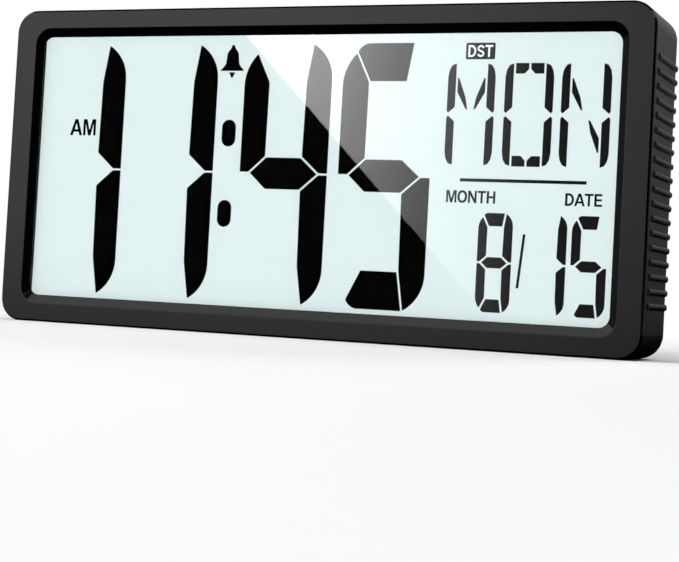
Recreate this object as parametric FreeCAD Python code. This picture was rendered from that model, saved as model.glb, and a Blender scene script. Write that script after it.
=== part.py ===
"""Large-display calendar alarm clock, built as the pieces that it comes apart into.

Millimetres. +X is to the right seen from the front, +Y points to the rear, +Z is up.
The origin is the centre of the base. A depth is a distance behind the front face.
"""
import FreeCAD, Part
import os
from math import acos, asin, cos, pi, radians, sin, sqrt, tan

V = FreeCAD.Vector

# ---- driving dimensions: case ----
CASE_W = 350.0
CASE_H = 168.0
CASE_D = 50.0
CORNER_R = 12.0
WALL = 2.4
FRONT_T = 3.0
REAR_EDGE_R = 2.0
SAME_SPOT = 1e-6
FIT = 0.3                 # gap between moulded pieces that slide together
EDGE_CHAMFER = 1.0
EDGE_LAND = 0.4
SEAM_W = 0.8
SEAM_DEEP = 1.0
SKIRT_T = 1.6
SKIRT_L = 4.6

# ---- driving dimensions: window, glass and film ----
STEP_SIDE = 12.4          # outline of the case to the edge of the sloped step, left and right
STEP_TOP = 9.8            # the same, above and below
STEP_R = 9.0
STEP_DEEP = 2.8
WINDOW_SIDE = 16.3        # outline of the case to the window, left and right
WINDOW_TOP = 14.3         # the same, above and below
WINDOW_R = 5.5
GLASS_LAP = 3.2           # how far glass reaches behind the bezel
LENS_R = 3.0
TAPE_T = 0.2
LENS_T = 1.5
GASKET_T = 0.5
SEAL_W = 2.8              # width of the tape and of the gasket
POLARISER_T = 0.2
GLASS_T = 1.1
SEGMENT_T = 0.1
FILM_T = 0.3
CONTACT_LEDGE = 4.0       # front glass below the rear glass, where the contacts are
LOCATING_RIB = 1.2

# ---- driving dimensions: display characters, from the top left corner of a window this large ----
DRAWN_WINDOW = (317.4, 139.4)
SEGMENT_GAP = 1.0
TIME_TOP = 3.5
TIME_H = 134.0
TIME_W = 49.9
TIME_X = (0.1, 54.9, 119.4, 174.3)
TIME_LIT = ("bc", "bc", "fgbc", "afgcd")
COLON_X = 112.3
COLON_Z = (50.2, 91.9)
COLON_W = 7.9
COLON_H = 13.9
DAY_TOP = 13.7
DAY_H = 51.1
DAY_W = 25.2
DAY_X = (230.2, 259.4, 287.6)
DAY_LIT = ("febchj", "febcxyuv", "febchl")
RULE_X = (239.4, 302.4)
RULE_Z = 71.4
RULE_T = 1.6
DATE_TOP = 86.6
DATE_H = 49.0
DATE_W = 18.3
DATE_X = (249.6, 276.4, 296.0)
DATE_LIT = ("abcdefg", "bc", "afgcd")
SLASH_TOP = (273.2, 96.8)
SLASH_LOW = (270.9, 122.8)
SLASH_T = 1.3

# ---- driving dimensions: grip ribs on the sides ----
RIB_COUNT = 18
RIB_PITCH = 6.89
RIB_R = 1.75
RIB_PROUD = 1.2
RIB_FACETS = 5
RIB_NOSE = 0.9            # length over which a rib rises at its ends
RIB_START = 7.6
RIB_END_GAP = 1.0         # end of a rib to the rear face

# ---- driving dimensions: screws and bosses ----
FLAT_COUNT = 8            # flats round a small boss, bore or screw
ROUND_FLAT_COUNT = 16     # flats round a button and a larger ring
BOSS_R = 3.2
BOSS_INSET = 6.4          # boss centre to the outline of the case
BOSS_H = 14.4             # on the bezel, from the back of its plate
TUBE_WALL = 1.2
SCREW_R = 1.5
SCREW_HEAD_R = 2.9
SCREW_HEAD_T = 2.2
SCREW_L = 10.0
SCREW_PLAY = 0.3          # hole in the piece that a screw clamps
PILOT_PLAY = 0.05
TUBE_FLOOR = 3.0
SIDE_SCREW_INSET = 22.0   # upper and lower side screws to the ends of the case
TOP_SCREW_X = 58.0
SIDE_CLIP_RISE = 31.0     # above and below the middle
TOP_CLIP_X = (-116.0, 0.0, 116.0)
SMALL_SCREW_R = 1.0
SMALL_HEAD_R = 2.0
SMALL_HEAD_T = 1.4
SMALL_SCREW_L = 4.5
SMALL_BOSS_R = 3.0
HOOK_X = (-100.0, 0.0, 100.0)
HOOK_W = 16.0
HOOK_L = 5.0
HOOK_NOSE = 0.8
HOOK_NOSE_L = 2.5

# ---- driving dimensions: display holder and main board ----
HOLDER_T = 1.9
HOLDER_LIP = 1.0
HOLDER_RIB_T = 1.2
HOLDER_RIB_H = 2.5
HOLDER_RIB_X = (-120.0, -60.0, 0.0, 60.0, 120.0)
HOLDER_RIB_RISE = (-12.0, 22.0, 56.0)
BOARD_T = 1.6
BOARD_W = 290.0
BOARD_H = 41.0
BOARD_LOW = 5.4           # lower edge of the main board above the base
BOARD_STANDOFF = 3.6
BOARD_SCREW_X = (-138.0, 0.0, 138.0)
BOARD_SCREW_Z = (15.5, 41.0)
ZEBRA_W = 2.4
ZEBRA_L = 138.0
ZEBRA_MARGIN = 1.2
BLOB_R = 9.0
BLOB_H = 2.2
BLOB_X = -40.0
CRYSTAL_R = 1.5
CRYSTAL_L = 8.0
CRYSTAL_X = -70.0
CAPACITOR_R = 2.5
CAPACITOR_H = 7.0
CAPACITOR_X = (60.0, 74.0)

# ---- driving dimensions: batteries ----
CELL_R = 13.1
CELL_L = 50.0
CELL_FLAT_COUNT = 24
CELL_NUB_R = 2.9
CELL_NUB_L = 1.5
CELL_GAP = 0.4
SPRING_L = 8.0
SPRING_T = 0.5
SPRING_W = 8.0
CONTACT_T = 0.5
CONTACT_SIZE = 18.0
CONTACT_TAB_W = 4.0
CONTACT_TAB_L = 2.5       # solder tab, past the floor of the bay
CONTACT_PLAY = 0.1
END_PLAY = 0.4
BAY_X = 95.0              # middle of the battery bay
BAY_DROP = 3.5            # middle of the bay below the middle of the case
BAY_WALL = 2.0
BAY_DEEP = 29.3           # rear face to the floor of the bay
CRADLE_H = 5.0
CRADLE_T = 2.0
CRADLE_STEP = 35.0
DOOR_T = 2.0
DOOR_LEDGE = 3.0
LEDGE_T = 2.2
TAB_W = 12.0
TAB_X = 34.0
TAB_T = 1.0
TAB_L = 2.4
LATCH_W = 14.0
LATCH_L = 9.0
LATCH_SLOT = 1.2
LATCH_ARM_T = 1.6
DISH_DEEP = 0.8
DISH_R = 3.0
PAD_T = 1.0
PAD_W = 70.0
PAD_H = 34.0

# ---- driving dimensions: stand ----
STAND_W = 60.0            # recess that the leg folds into
STAND_GAP = 0.6
STAND_LOW = 3.4           # bottom of the recess above the base
STAND_DEEP = 9.0
STAND_WALL = 1.8
STAND_R = 7.0
PIVOT_DROP = 61.0         # hinge pin below the top of the case
PIVOT_DEEP = 4.8          # rear face to the hinge pin
LEG_T = 2.4
LEG_SINK = 0.4            # leg below the rear face when it is folded
LEG_RIM_T = 1.6
LEG_RIM_H = 3.6
LEG_SLOT_W = 12.0
LEG_OPEN_DEG = 30.0
KNUCKLE_R = 3.4
KNUCKLE_W = 16.0
PIN_R = 1.5
PIN_PLAY = 0.05
PIN_SEAT = 3.0
STOP_GAP = 0.2
NOTCH_R = 10.0

# ---- driving dimensions: controls ----
KEY_DROP = 56.0           # row of buttons below the top of the case
KEY_X = (-143.0, -128.0, -113.0, -98.0, -83.0, -68.0)
KEY_NAMES = ("set", "mode", "up", "down", "alarm", "snooze")
KEY_R = 4.5
KEY_PROUD = 1.2           # button above the floor of the control recess
KEY_ROUND = 0.5
KEY_PLAY = 0.3
KEY_TRAVEL = 0.8
KEY_FLANGE = 1.3
KEY_FLANGE_T = 1.1
KEY_STEM_R = 2.4
PANEL_W = 110.0           # recess round the controls, so that they stay below the rear face
PANEL_H = 20.0
PANEL_R = 5.0
PANEL_SINK = 1.6
SWITCH_SIZE = 6.0
SWITCH_H = 3.5
PLUNGER_R = 1.75
PLUNGER_PLAY = 0.1
PLUNGER_PROUD = 1.0
PLUNGER_SUNK = 0.9
KEY_BOARD_W = 112.0
KEY_BOARD_H = 24.0
KEY_BOARD_X = -96.0
KEY_BOARD_GAP = 7.6       # inside of the control recess to the key board
KEY_POST_INSET = 3.6
SLIDER_X = -50.5
SLIDER_TRAVEL = 4.0
SLIDER_W = 3.0
SLIDER_H = 2.6
SLIDER_PROUD = 1.2
SLIDER_BODY_W = 12.0
SLIDER_BODY_H = 6.0
SLIDER_BODY_T = 4.0
SLIDER_GROOVE = 1.5
SLIDER_PLAY = 0.2

# ---- driving dimensions: sounder and wall hanging ----
SOUNDER_X = -96.0
SOUNDER_DROP = 18.0       # below the middle of the case
SOUND_HOLE_R = 1.5
SOUND_RING_R = 6.0
SOUND_HOLES = 6
PIEZO_R = 17.5            # across the corners of its flats
PIEZO_T = 0.3
CERAMIC_R = 12.5
CERAMIC_T = 0.3
PIEZO_SEAT = 4.0
PIEZO_LEDGE = 1.8
KEYHOLE_X = 110.0
KEYHOLE_DROP = 24.0       # round entry below the top of the case
KEYHOLE_R = 4.5
KEYHOLE_NECK = 4.6
KEYHOLE_RISE = 9.0
KEYHOLE_DEEP = 8.5
KEYHOLE_SIDE = 2.0
KEYHOLE_WALL = 1.6

# ---- driving dimensions: leads ----
LEAD_R = 0.7
LEAD_BEND = 6.0           # depth that a lead takes to turn in to the board
LEAD_LAND = 12.0          # edge of the main board to where a lead is soldered
LEAD_STEP = 6.0           # between the two leads of a pair
LEAD_CORNER = 0.35        # share of a run that a slanted corner takes
RIBBON_X = -56.0
RIBBON_W = 10.0
RIBBON_T = 0.8
RIBBON_DROP = 16.0        # slack of the ribbon between the two boards

# ---- places that follow from the sizes ----
MID_Z = CASE_H / 2
SIDE_SCREW_Z = (SIDE_SCREW_INSET, MID_Z, CASE_H - SIDE_SCREW_INSET)
SIDE_CLIP_Z = (MID_Z - SIDE_CLIP_RISE, MID_Z + SIDE_CLIP_RISE)
BAY_Z = MID_Z - BAY_DROP
PIVOT_Z = CASE_H - PIVOT_DROP
KEY_Z = CASE_H - KEY_DROP
SOUNDER_Z = MID_Z - SOUNDER_DROP
KEYHOLE_Z = CASE_H - KEYHOLE_DROP
WINDOW_W = CASE_W - 2 * WINDOW_SIDE
WINDOW_H = CASE_H - 2 * WINDOW_TOP
LENS_W = WINDOW_W + 2 * GLASS_LAP
LENS_H = WINDOW_H + 2 * GLASS_LAP
GLASS_H = LENS_H + CONTACT_LEDGE
GLASS_Z = MID_Z - CONTACT_LEDGE / 2

SEAM_END = EDGE_CHAMFER + EDGE_LAND + SEAM_W
LENS_FRONT = FRONT_T + TAPE_T
LENS_BACK = LENS_FRONT + LENS_T
POLARISER_FRONT = LENS_BACK + GASKET_T
GLASS_FRONT = POLARISER_FRONT + POLARISER_T
GLASS_BACK = GLASS_FRONT + GLASS_T
REAR_GLASS_FRONT = GLASS_BACK + SEGMENT_T
REAR_GLASS_BACK = REAR_GLASS_FRONT + GLASS_T
HOLDER_FRONT = REAR_GLASS_BACK + FILM_T
HOLDER_BACK = HOLDER_FRONT + HOLDER_T
BOARD_FRONT = HOLDER_BACK + BOARD_STANDOFF
BOARD_BACK = BOARD_FRONT + BOARD_T
BOARD_TOP = BOARD_LOW + BOARD_H
BOARD_Z = BOARD_LOW + BOARD_H / 2
REAR_INSIDE = CASE_D - WALL
SKIRT_END = SEAM_END + SKIRT_L
BOSS_END = FRONT_T + BOSS_H
TUBE_SEAT = BOSS_END + TUBE_FLOOR
TUBE_R = SCREW_HEAD_R + SCREW_PLAY + TUBE_WALL
BOSS_X = CASE_W / 2 - BOSS_INSET
BOSS_TOP_Z = CASE_H - BOSS_INSET
HOLDER_W = LENS_W + 2 * HOLDER_LIP
HOLDER_H = GLASS_H + 2 * HOLDER_LIP
GLASS_LOW = GLASS_Z - GLASS_H / 2
ZEBRA_Z = GLASS_LOW + ZEBRA_MARGIN + ZEBRA_W / 2

CELL_PITCH = 2 * CELL_R + CELL_GAP
BAY_L = 2 * CELL_L + SPRING_L + 2 * CONTACT_T + END_PLAY
BAY_H = 2 * CELL_R + CELL_PITCH + 2 * CELL_GAP
BAY_LEFT = BAY_X - BAY_L / 2
BAY_RIGHT = BAY_X + BAY_L / 2
BAY_LOW = BAY_Z - BAY_H / 2
BAY_TOP = BAY_Z + BAY_H / 2
BAY_FLOOR = CASE_D - BAY_DEEP
CELL_DEPTH = BAY_FLOOR + CELL_R
CELL_ROWS = (BAY_Z - CELL_PITCH / 2, BAY_Z + CELL_PITCH / 2)
DOOR_DEPTH = CASE_D - DOOR_T
RECESS_W = BAY_L + 2 * DOOR_LEDGE
RECESS_H = BAY_H + 2 * DOOR_LEDGE
RECESS_LOW = BAY_Z - RECESS_H / 2
RECESS_TOP = BAY_Z + RECESS_H / 2
TAB_DEPTH = REAR_INSIDE - FIT - TAB_T

PIVOT_DEPTH = CASE_D - PIVOT_DEEP
STAND_FLOOR = CASE_D - STAND_DEEP
LEG_BACK = CASE_D - LEG_SINK
LEG_FRONT = LEG_BACK - LEG_T
LEG_W = STAND_W - 2 * STAND_GAP
LEG_LOW = STAND_LOW + STAND_GAP
LEG_STOP = PIVOT_DEPTH - STAND_FLOOR - STOP_GAP
LEG_HEEL = (LEG_STOP + (LEG_FRONT - PIVOT_DEPTH) * cos(radians(LEG_OPEN_DEG))) / sin(radians(LEG_OPEN_DEG))
LEG_TOP = PIVOT_Z + LEG_HEEL
STAND_TOP = PIVOT_Z + sqrt(LEG_HEEL ** 2 + (LEG_BACK - PIVOT_DEPTH) ** 2) + STAND_GAP
KNUCKLE_OUT = LEG_W / 2
PIN_HALF = STAND_W / 2 + PIN_SEAT

PANEL_BACK = CASE_D - PANEL_SINK
PANEL_INSIDE = PANEL_BACK - WALL
KEY_BOARD_BACK = PANEL_INSIDE - KEY_BOARD_GAP
KEY_BOARD_FRONT = KEY_BOARD_BACK - BOARD_T
SWITCH_TOP = KEY_BOARD_BACK + SWITCH_H
PLUNGER_TOP = SWITCH_TOP + PLUNGER_PROUD
KEYHOLE_FLOOR = CASE_D - KEYHOLE_DEEP
PIEZO_BACK = REAR_INSIDE - PIEZO_SEAT
TAB_END = BAY_FLOOR - BAY_WALL - CONTACT_TAB_L
SOLDER_Z = BOARD_TOP - LEAD_LAND


# ---- helpers ----
def at(depth):
    """Y of a depth behind the front face."""
    return depth - CASE_D / 2


def block(x, z, depth):
    """Box between pairs of x, z and depth."""
    corner = V(x[0], at(depth[0]), z[0])
    return Part.makeBox(x[1] - x[0], depth[1] - depth[0], z[1] - z[0], corner)


def plate(x, z, w, h, depth):
    """Box of a width and height about a centre, between two depths."""
    return block((x - w / 2, x + w / 2), (z - h / 2, z + h / 2), depth)


def rod(x, z, r, depth):
    """Cylinder along the depth."""
    return Part.makeCylinder(r, depth[1] - depth[0], V(x, at(depth[0]), z), V(0, 1, 0))


def polygon(x, z, r, depth, sides):
    """Closed wire of equal flats that faces the front, r across its corners."""
    turns = [2 * pi * (i + 0.5) / sides for i in range(sides + 1)]
    return Part.makePolygon([V(x + r * cos(a), at(depth), z + r * sin(a)) for a in turns])


def prism(x, z, r, depth, sides=FLAT_COUNT):
    """Small round piece or hole along the depth, drawn with flats."""
    return Part.Face(polygon(x, z, r, depth[0], sides)).extrude(V(0, depth[1] - depth[0], 0))


def cone(x, z, r, depth, sides):
    """Frustum along the depth between a pair of radii, drawn with flats."""
    ends = [polygon(x, z, r[i], depth[i], sides) for i in (0, 1)]
    near, far = [[v.Point for v in wire.OrderedVertexes] for wire in ends]
    faces = [Part.Face(wire) for wire in ends]
    for i in range(sides):
        j = (i + 1) % sides
        faces.append(Part.Face(Part.makePolygon([near[i], near[j], far[j], far[i], near[i]])))
    return Part.makeSolid(Part.makeShell(faces))


def cross_rod(x, depth, z, r):
    """Cylinder along X between a pair of x."""
    return Part.makeCylinder(r, x[1] - x[0], V(x[0], at(depth), z), V(1, 0, 0))


def cross_prism(x, depth, z, r, sides):
    """Round piece along X between a pair of x, drawn with flats, r across its corners."""
    turns = [2 * pi * (i + 0.5) / sides for i in range(sides + 1)]
    ring = Part.makePolygon([V(x[0], at(depth + r * cos(a)), z + r * sin(a)) for a in turns])
    return Part.Face(ring).extrude(V(x[1] - x[0], 0, 0))


def outline(w, h, r, depth, x=0.0, z=MID_Z):
    """Rounded rectangle that faces the front, as a closed wire."""
    edges = []
    corners = corner_points(w, h, r, (0, 45, 90), depth, x, z)
    for quarter in range(4):
        edges.append(Part.Arc(*corners[quarter]).toShape())
        edges.append(Part.makeLine(corners[quarter][2], corners[(quarter + 1) % 4][0]))
    return Part.Wire(edges)


def corner_points(w, h, r, turns, depth, x, z):
    """Points round the four corners of a rounded rectangle, at turns of each quarter in degrees."""
    corners = []
    for quarter, (side, up) in enumerate(((1, 1), (-1, 1), (-1, -1), (1, -1))):
        cx = x + side * (w / 2 - r)
        cz = z + up * (h / 2 - r)
        angles = [radians(90 * quarter + turn) for turn in turns]
        corners.append([V(cx + r * cos(a), at(depth), cz + r * sin(a)) for a in angles])
    return corners


def slab(w, h, r, depth, x=0.0, z=MID_Z):
    """Rounded rectangle between two depths."""
    face = Part.Face(outline(w, h, r, depth[0], x, z))
    return face.extrude(V(0, depth[1] - depth[0], 0))


def inner_slab(w, h, r, depth, x=0.0, z=MID_Z):
    """Rounded rectangle between two depths with three flats at each corner, for what stays hidden."""
    corners = sum(corner_points(w, h, r, (0, 30, 60, 90), depth[0], x, z), [])
    return Part.Face(Part.makePolygon(corners + corners[:1])).extrude(V(0, depth[1] - depth[0], 0))


def funnel(front, back):
    """Loft between two rounded rectangles, each (w, h, r, depth)."""
    return Part.makeLoft([outline(*front), outline(*back)], True, True)


def frame(w, h, r, wall, depth, z=MID_Z):
    """Hidden rounded rectangular ring with its wall inside w and h."""
    hole = inner_slab(w - 2 * wall, h - 2 * wall, max(r - wall, wall / 4), depth, 0.0, z)
    return inner_slab(w, h, r, depth, 0.0, z).cut(hole)


def closed_wire(steps, place):
    """Closed wire. A step (a, b) is a straight edge to a point, (am, bm, a, b) an arc through am, bm."""
    here = place(*steps[0][-2:])
    first = here
    edges = []
    for step in steps[1:]:
        there = place(*step[-2:])
        if len(step) == 4:
            edges.append(Part.Arc(here, place(*step[:2]), there).toShape())
        else:
            edges.append(Part.makeLine(here, there))
        here = there
    if not here.isEqual(first, SAME_SPOT):
        edges.append(Part.makeLine(here, first))
    return Part.Wire(edges)


def side_prism(steps, x):
    """Profile of (depth, z) steps, drawn out between a pair of x."""
    wire = closed_wire(steps, lambda depth, z: V(x[0], at(depth), z))
    return Part.Face(wire).extrude(V(x[1] - x[0], 0, 0))


def dome_middle(r, h):
    """Radius and height of the middle of a dome's arc, for a dome of edge radius r and height h."""
    ball = (r * r + h * h) / (2 * h)
    half = asin(min(1.0, r / ball)) / 2
    return ball * sin(half), h - ball * (1 - cos(half))


def screw(x, z, seat, r, length, head_r, head_t):
    """Flat-head screw driven from the rear, with its head resting at a depth."""
    shank = prism(x, z, r, (seat - length, seat))
    return shank.fuse(prism(x, z, head_r, (seat, seat + head_t)))


def lead(points, section):
    """Wire or ribbon along (x, depth, z) points, each corner cut off by a short slanted run."""
    spots = [V(x, at(depth), z) for x, depth, z in points]
    route = [spots[0]]
    for before, corner, after in zip(spots, spots[1:], spots[2:]):
        reach = LEAD_CORNER * min((before - corner).Length, (after - corner).Length)
        for end in (before, after):
            toward = end - corner
            toward.normalize()
            route.append(corner + toward * reach)
    route.append(spots[-1])
    return Part.makePolygon(route).makePipeShell([section], True, False, 1)


def wire_section(points, r, sides=4):
    """Section at the start of a lead that doesn't start along X."""
    start, on = [V(x, at(depth), z) for x, depth, z in points[:2]]
    across = V(1, 0, 0)
    up = across.cross(on - start)
    up.normalize()
    turns = [2 * pi * i / sides for i in range(sides + 1)]
    return Part.makePolygon([start + across * (r * cos(a)) + up * (r * sin(a)) for a in turns])


# ---- screw places ----
def case_boss_places():
    places = [(side * BOSS_X, z) for side in (-1, 1) for z in SIDE_SCREW_Z]
    return places + [(side * TOP_SCREW_X, BOSS_TOP_Z) for side in (-1, 1)]


def clip_places():
    places = [(side * BOSS_X, z) for side in (-1, 1) for z in SIDE_CLIP_Z]
    return places + [(x, BOSS_TOP_Z) for x in TOP_CLIP_X]


def board_boss_places():
    return [(x, z) for x in BOARD_SCREW_X for z in BOARD_SCREW_Z]


def key_post_places():
    half_w = KEY_BOARD_W / 2 - KEY_POST_INSET
    half_h = KEY_BOARD_H / 2 - KEY_POST_INSET
    return [(KEY_BOARD_X + side * half_w, KEY_Z + up * half_h) for side in (-1, 1) for up in (-1, 1)]


# ---- front ----
def bezel_plate():
    """Front plate with its chamfered edge, the seam groove behind it and the skirt."""
    edge = (CASE_W, CASE_H, CORNER_R, EDGE_CHAMFER)
    face = (CASE_W - 2 * EDGE_CHAMFER, CASE_H - 2 * EDGE_CHAMFER, CORNER_R - EDGE_CHAMFER, 0.0)
    land_end = EDGE_CHAMFER + EDGE_LAND
    inset = WALL + FIT
    skirt_w = CASE_W - 2 * inset
    skirt_h = CASE_H - 2 * inset
    seam_w = CASE_W - 2 * SEAM_DEEP
    seam_h = CASE_H - 2 * SEAM_DEEP
    pieces = [
        slab(CASE_W, CASE_H, CORNER_R, (EDGE_CHAMFER, land_end)),
        inner_slab(seam_w, seam_h, CORNER_R - SEAM_DEEP, (land_end, SEAM_END)),
        inner_slab(skirt_w, skirt_h, CORNER_R - inset, (SEAM_END, FRONT_T)),
        frame(skirt_w, skirt_h, CORNER_R - inset, SKIRT_T, (SEAM_END, SKIRT_END)),
    ]
    return funnel(face, edge).fuse(pieces)


def bezel_window():
    """Sloped step and the window through the plate."""
    step = (CASE_W - 2 * STEP_SIDE, CASE_H - 2 * STEP_TOP, STEP_R, 0.0)
    window = (WINDOW_W, WINDOW_H, WINDOW_R, STEP_DEEP)
    return funnel(step, window).fuse(slab(WINDOW_W, WINDOW_H, WINDOW_R, (STEP_DEEP, FRONT_T)))


def bezel_locators():
    """Ribs round the glass, and the shelf under the lens."""
    wall = LOCATING_RIB
    ribs = frame(LENS_W + 2 * (FIT + wall), GLASS_H + 2 * (FIT + wall), wall + FIT, wall,
                 (FRONT_T, GLASS_BACK), GLASS_Z)
    shelf_top = MID_Z - LENS_H / 2 - FIT
    shelf = block((-LENS_W / 2, LENS_W / 2), (shelf_top - wall, shelf_top), (FRONT_T, LENS_BACK))
    return [ribs, shelf]


def bezel_hooks():
    """Hooks on the lower skirt that catch in the base of the rear case."""
    low = WALL + FIT
    hooks = []
    for x in HOOK_X:
        span = (x - HOOK_W / 2, x + HOOK_W / 2)
        end = SKIRT_END + HOOK_L
        steps = [(SEAM_END, low), (end - HOOK_NOSE_L, low), (end - HOOK_NOSE_L, low - HOOK_NOSE),
                 (end, low - HOOK_NOSE * 0.3), (end, low + SKIRT_T), (SEAM_END, low + SKIRT_T)]
        hooks.append(side_prism(steps, span))
    return hooks


def front_bezel():
    bosses = [prism(x, z, BOSS_R, (SEAM_END, BOSS_END)) for x, z in case_boss_places()]
    clips = [prism(x, z, BOSS_R, (SEAM_END, HOLDER_FRONT)) for x, z in clip_places()]
    body = bezel_plate().fuse(bezel_locators() + bezel_hooks() + bosses + clips)
    pilot = SCREW_R + PILOT_PLAY
    holes = [prism(x, z, pilot, (BOSS_END - SCREW_L, BOSS_END)) for x, z in case_boss_places()]
    small = SMALL_SCREW_R + PILOT_PLAY
    holes += [prism(x, z, small, (HOLDER_FRONT - SMALL_SCREW_L, HOLDER_FRONT)) for x, z in clip_places()]
    return body.cut([bezel_window()] + holes).removeSplitter()


def seal_ring(depth):
    """Thin ring at the edge of the lens."""
    hole = plate(0.0, MID_Z, LENS_W - 2 * SEAL_W, LENS_H - 2 * SEAL_W, depth)
    return inner_slab(LENS_W, LENS_H, LENS_R, depth).cut(hole)


def lens_tape():
    return seal_ring((FRONT_T, LENS_FRONT))


def display_lens():
    return inner_slab(LENS_W, LENS_H, LENS_R, (LENS_FRONT, LENS_BACK))


def dust_gasket():
    return seal_ring((LENS_BACK, POLARISER_FRONT))


def front_polariser():
    return plate(0.0, MID_Z, LENS_W, LENS_H, (POLARISER_FRONT, GLASS_FRONT))


def lcd_front_glass():
    return plate(0.0, GLASS_Z, LENS_W, GLASS_H, (GLASS_FRONT, GLASS_BACK))


def lcd_rear_glass():
    return plate(0.0, MID_Z, LENS_W, LENS_H, (REAR_GLASS_FRONT, REAR_GLASS_BACK))


def reflector_film():
    return plate(0.0, MID_Z, LENS_W, LENS_H, (REAR_GLASS_BACK, HOLDER_FRONT))


# ---- display characters ----
def window_spot(u, v):
    """Point on the back of the front glass, for a place on the drawn window."""
    across = u / DRAWN_WINDOW[0] - 0.5
    up = 0.5 - v / DRAWN_WINDOW[1]
    return V(across * WINDOW_W, at(GLASS_BACK), MID_Z + up * WINDOW_H)


def lit(steps, left, top, w, h, gap=SEGMENT_GAP):
    """One display segment. Its steps are shares of a cell, and half a gap is taken off all round."""
    wire = closed_wire(steps, lambda u, v: window_spot(left + u * w, top + v * h))
    face = Part.Face(wire)
    if gap:
        face = face.makeOffset2D(-gap / 2, join=2)
    return face.extrude(V(0, SEGMENT_T, 0))


def flip_u(steps):
    """Mirror a segment left to right in its cell."""
    return [tuple(1 - s if i % 2 == 0 else s for i, s in enumerate(step)) for step in steps]


def flip_v(steps):
    """Mirror a segment top to bottom in its cell."""
    return [tuple(s if i % 2 == 0 else 1 - s for i, s in enumerate(step)) for step in steps]


def digit_shapes():
    """Seven-segment digit: bars with pointed tips and a six-sided middle bar, as shares of a cell."""
    top = [(0.152, 0.036), (0.21, 0.009, 0.31, 0.0), (0.768, 0.0), (0.703, 0.15), (0.304, 0.15)]
    right = [(0.768, 0.0), (0.93, 0.054, 1.0, 0.145), (1.0, 0.5), (0.891, 0.5), (0.692, 0.436),
             (0.703, 0.15)]
    left = [(0.0, 0.17), (0.045, 0.09, 0.152, 0.036), (0.304, 0.15), (0.299, 0.436), (0.111, 0.5),
            (0.0, 0.5)]
    middle = [(0.111, 0.5), (0.299, 0.436), (0.692, 0.436), (0.891, 0.5), (0.692, 0.564),
              (0.299, 0.564)]
    return {"a": top, "b": right, "c": flip_v(right), "d": flip_v(top),
            "e": flip_v(left), "f": left, "g": middle}


def letter_shapes():
    """Segmented letter: four bars with cut shoulders, split end bars and thin diagonals."""
    left = [(0.0, 0.14), (0.025, 0.07), (0.085, 0.02), (0.2, 0.0), (0.2, 0.435), (0.05, 0.5), (0.0, 0.47)]
    end_bar = [(0.2, 0.0), (0.5, 0.0), (0.5, 0.07), (0.405, 0.12), (0.2, 0.12)]
    diagonal = [(0.2, 0.14), (0.26, 0.145), (0.41, 0.335), (0.465, 0.475), (0.385, 0.455), (0.2, 0.29)]
    return {"f": left, "e": flip_v(left), "b": flip_u(left), "c": flip_u(flip_v(left)),
            "x": end_bar, "y": flip_u(end_bar), "u": flip_v(end_bar), "v": flip_u(flip_v(end_bar)),
            "h": diagonal, "j": flip_u(diagonal), "l": flip_u(flip_v(diagonal))}


def characters(shapes, lits, lefts, top, w, h):
    """Every lit segment of a row of characters."""
    solids = []
    for word, left in zip(lits, lefts):
        solids += [lit(shapes[key], left, top, w, h) for key in word]
    return solids


def colon_dot(middle):
    """Upright dot with round ends."""
    r = COLON_W / 2
    up = COLON_H / 2 - r
    steps = [(-r, -up), (0, -up - r, r, -up), (r, up), (0, up + r, -r, up)]
    return lit(steps, COLON_X, middle, 1.0, 1.0, 0.0)


def time_segments():
    solids = characters(digit_shapes(), TIME_LIT, TIME_X, TIME_TOP, TIME_W, TIME_H)
    return solids + [colon_dot(z) for z in COLON_Z]


def weekday_segments():
    return characters(letter_shapes(), DAY_LIT, DAY_X, DAY_TOP, DAY_W, DAY_H)


def date_segments():
    rule = [(RULE_X[0], RULE_Z - RULE_T / 2), (RULE_X[1], RULE_Z - RULE_T / 2),
            (RULE_X[1], RULE_Z + RULE_T / 2), (RULE_X[0], RULE_Z + RULE_T / 2)]
    half = SLASH_T / 2
    slash = [(SLASH_TOP[0] - half, SLASH_TOP[1]), (SLASH_TOP[0] + half, SLASH_TOP[1]),
             (SLASH_LOW[0] + half, SLASH_LOW[1]), (SLASH_LOW[0] - half, SLASH_LOW[1])]
    solids = characters(digit_shapes(), DATE_LIT, DATE_X, DATE_TOP, DATE_W, DATE_H)
    return solids + [lit(rule, 0.0, 0.0, 1.0, 1.0, 0.0), lit(slash, 0.0, 0.0, 1.0, 1.0, 0.0)]


# ---- display holder and main board ----
def holder_ears():
    """Ears that reach out from the holder to the bezel's short bosses."""
    depth = (HOLDER_FRONT, HOLDER_BACK)
    ears = []
    for x, z in clip_places():
        ears.append(prism(x, z, BOSS_R, depth))
        if z == BOSS_TOP_Z:
            ears.append(block((x - BOSS_R, x + BOSS_R), (z - 2 * BOSS_R, z), depth))
        else:
            inward = x - (2 * BOSS_R if x > 0 else -2 * BOSS_R)
            ears.append(block((min(x, inward), max(x, inward)), (z - BOSS_R, z + BOSS_R), depth))
    return ears


def holder_ribs():
    """Stiffening grid on the back of the holder, above the main board."""
    low = BOARD_TOP + HOLDER_RIB_T
    high = GLASS_Z + HOLDER_H / 2
    depth = (HOLDER_BACK, HOLDER_BACK + HOLDER_RIB_H)
    half = HOLDER_RIB_T / 2
    ribs = [block((x - half, x + half), (low, high), depth) for x in HOLDER_RIB_X]
    span = (-HOLDER_W / 2, HOLDER_W / 2)
    levels = [MID_Z + rise for rise in HOLDER_RIB_RISE]
    return ribs + [block(span, (z - half, z + half), depth) for z in levels]


def zebra_spans():
    """The two strips side by side, as pairs of x."""
    half_gap = HOLDER_RIB_T + FIT
    return [(-half_gap - ZEBRA_L, -half_gap), (half_gap, half_gap + ZEBRA_L)]


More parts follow.
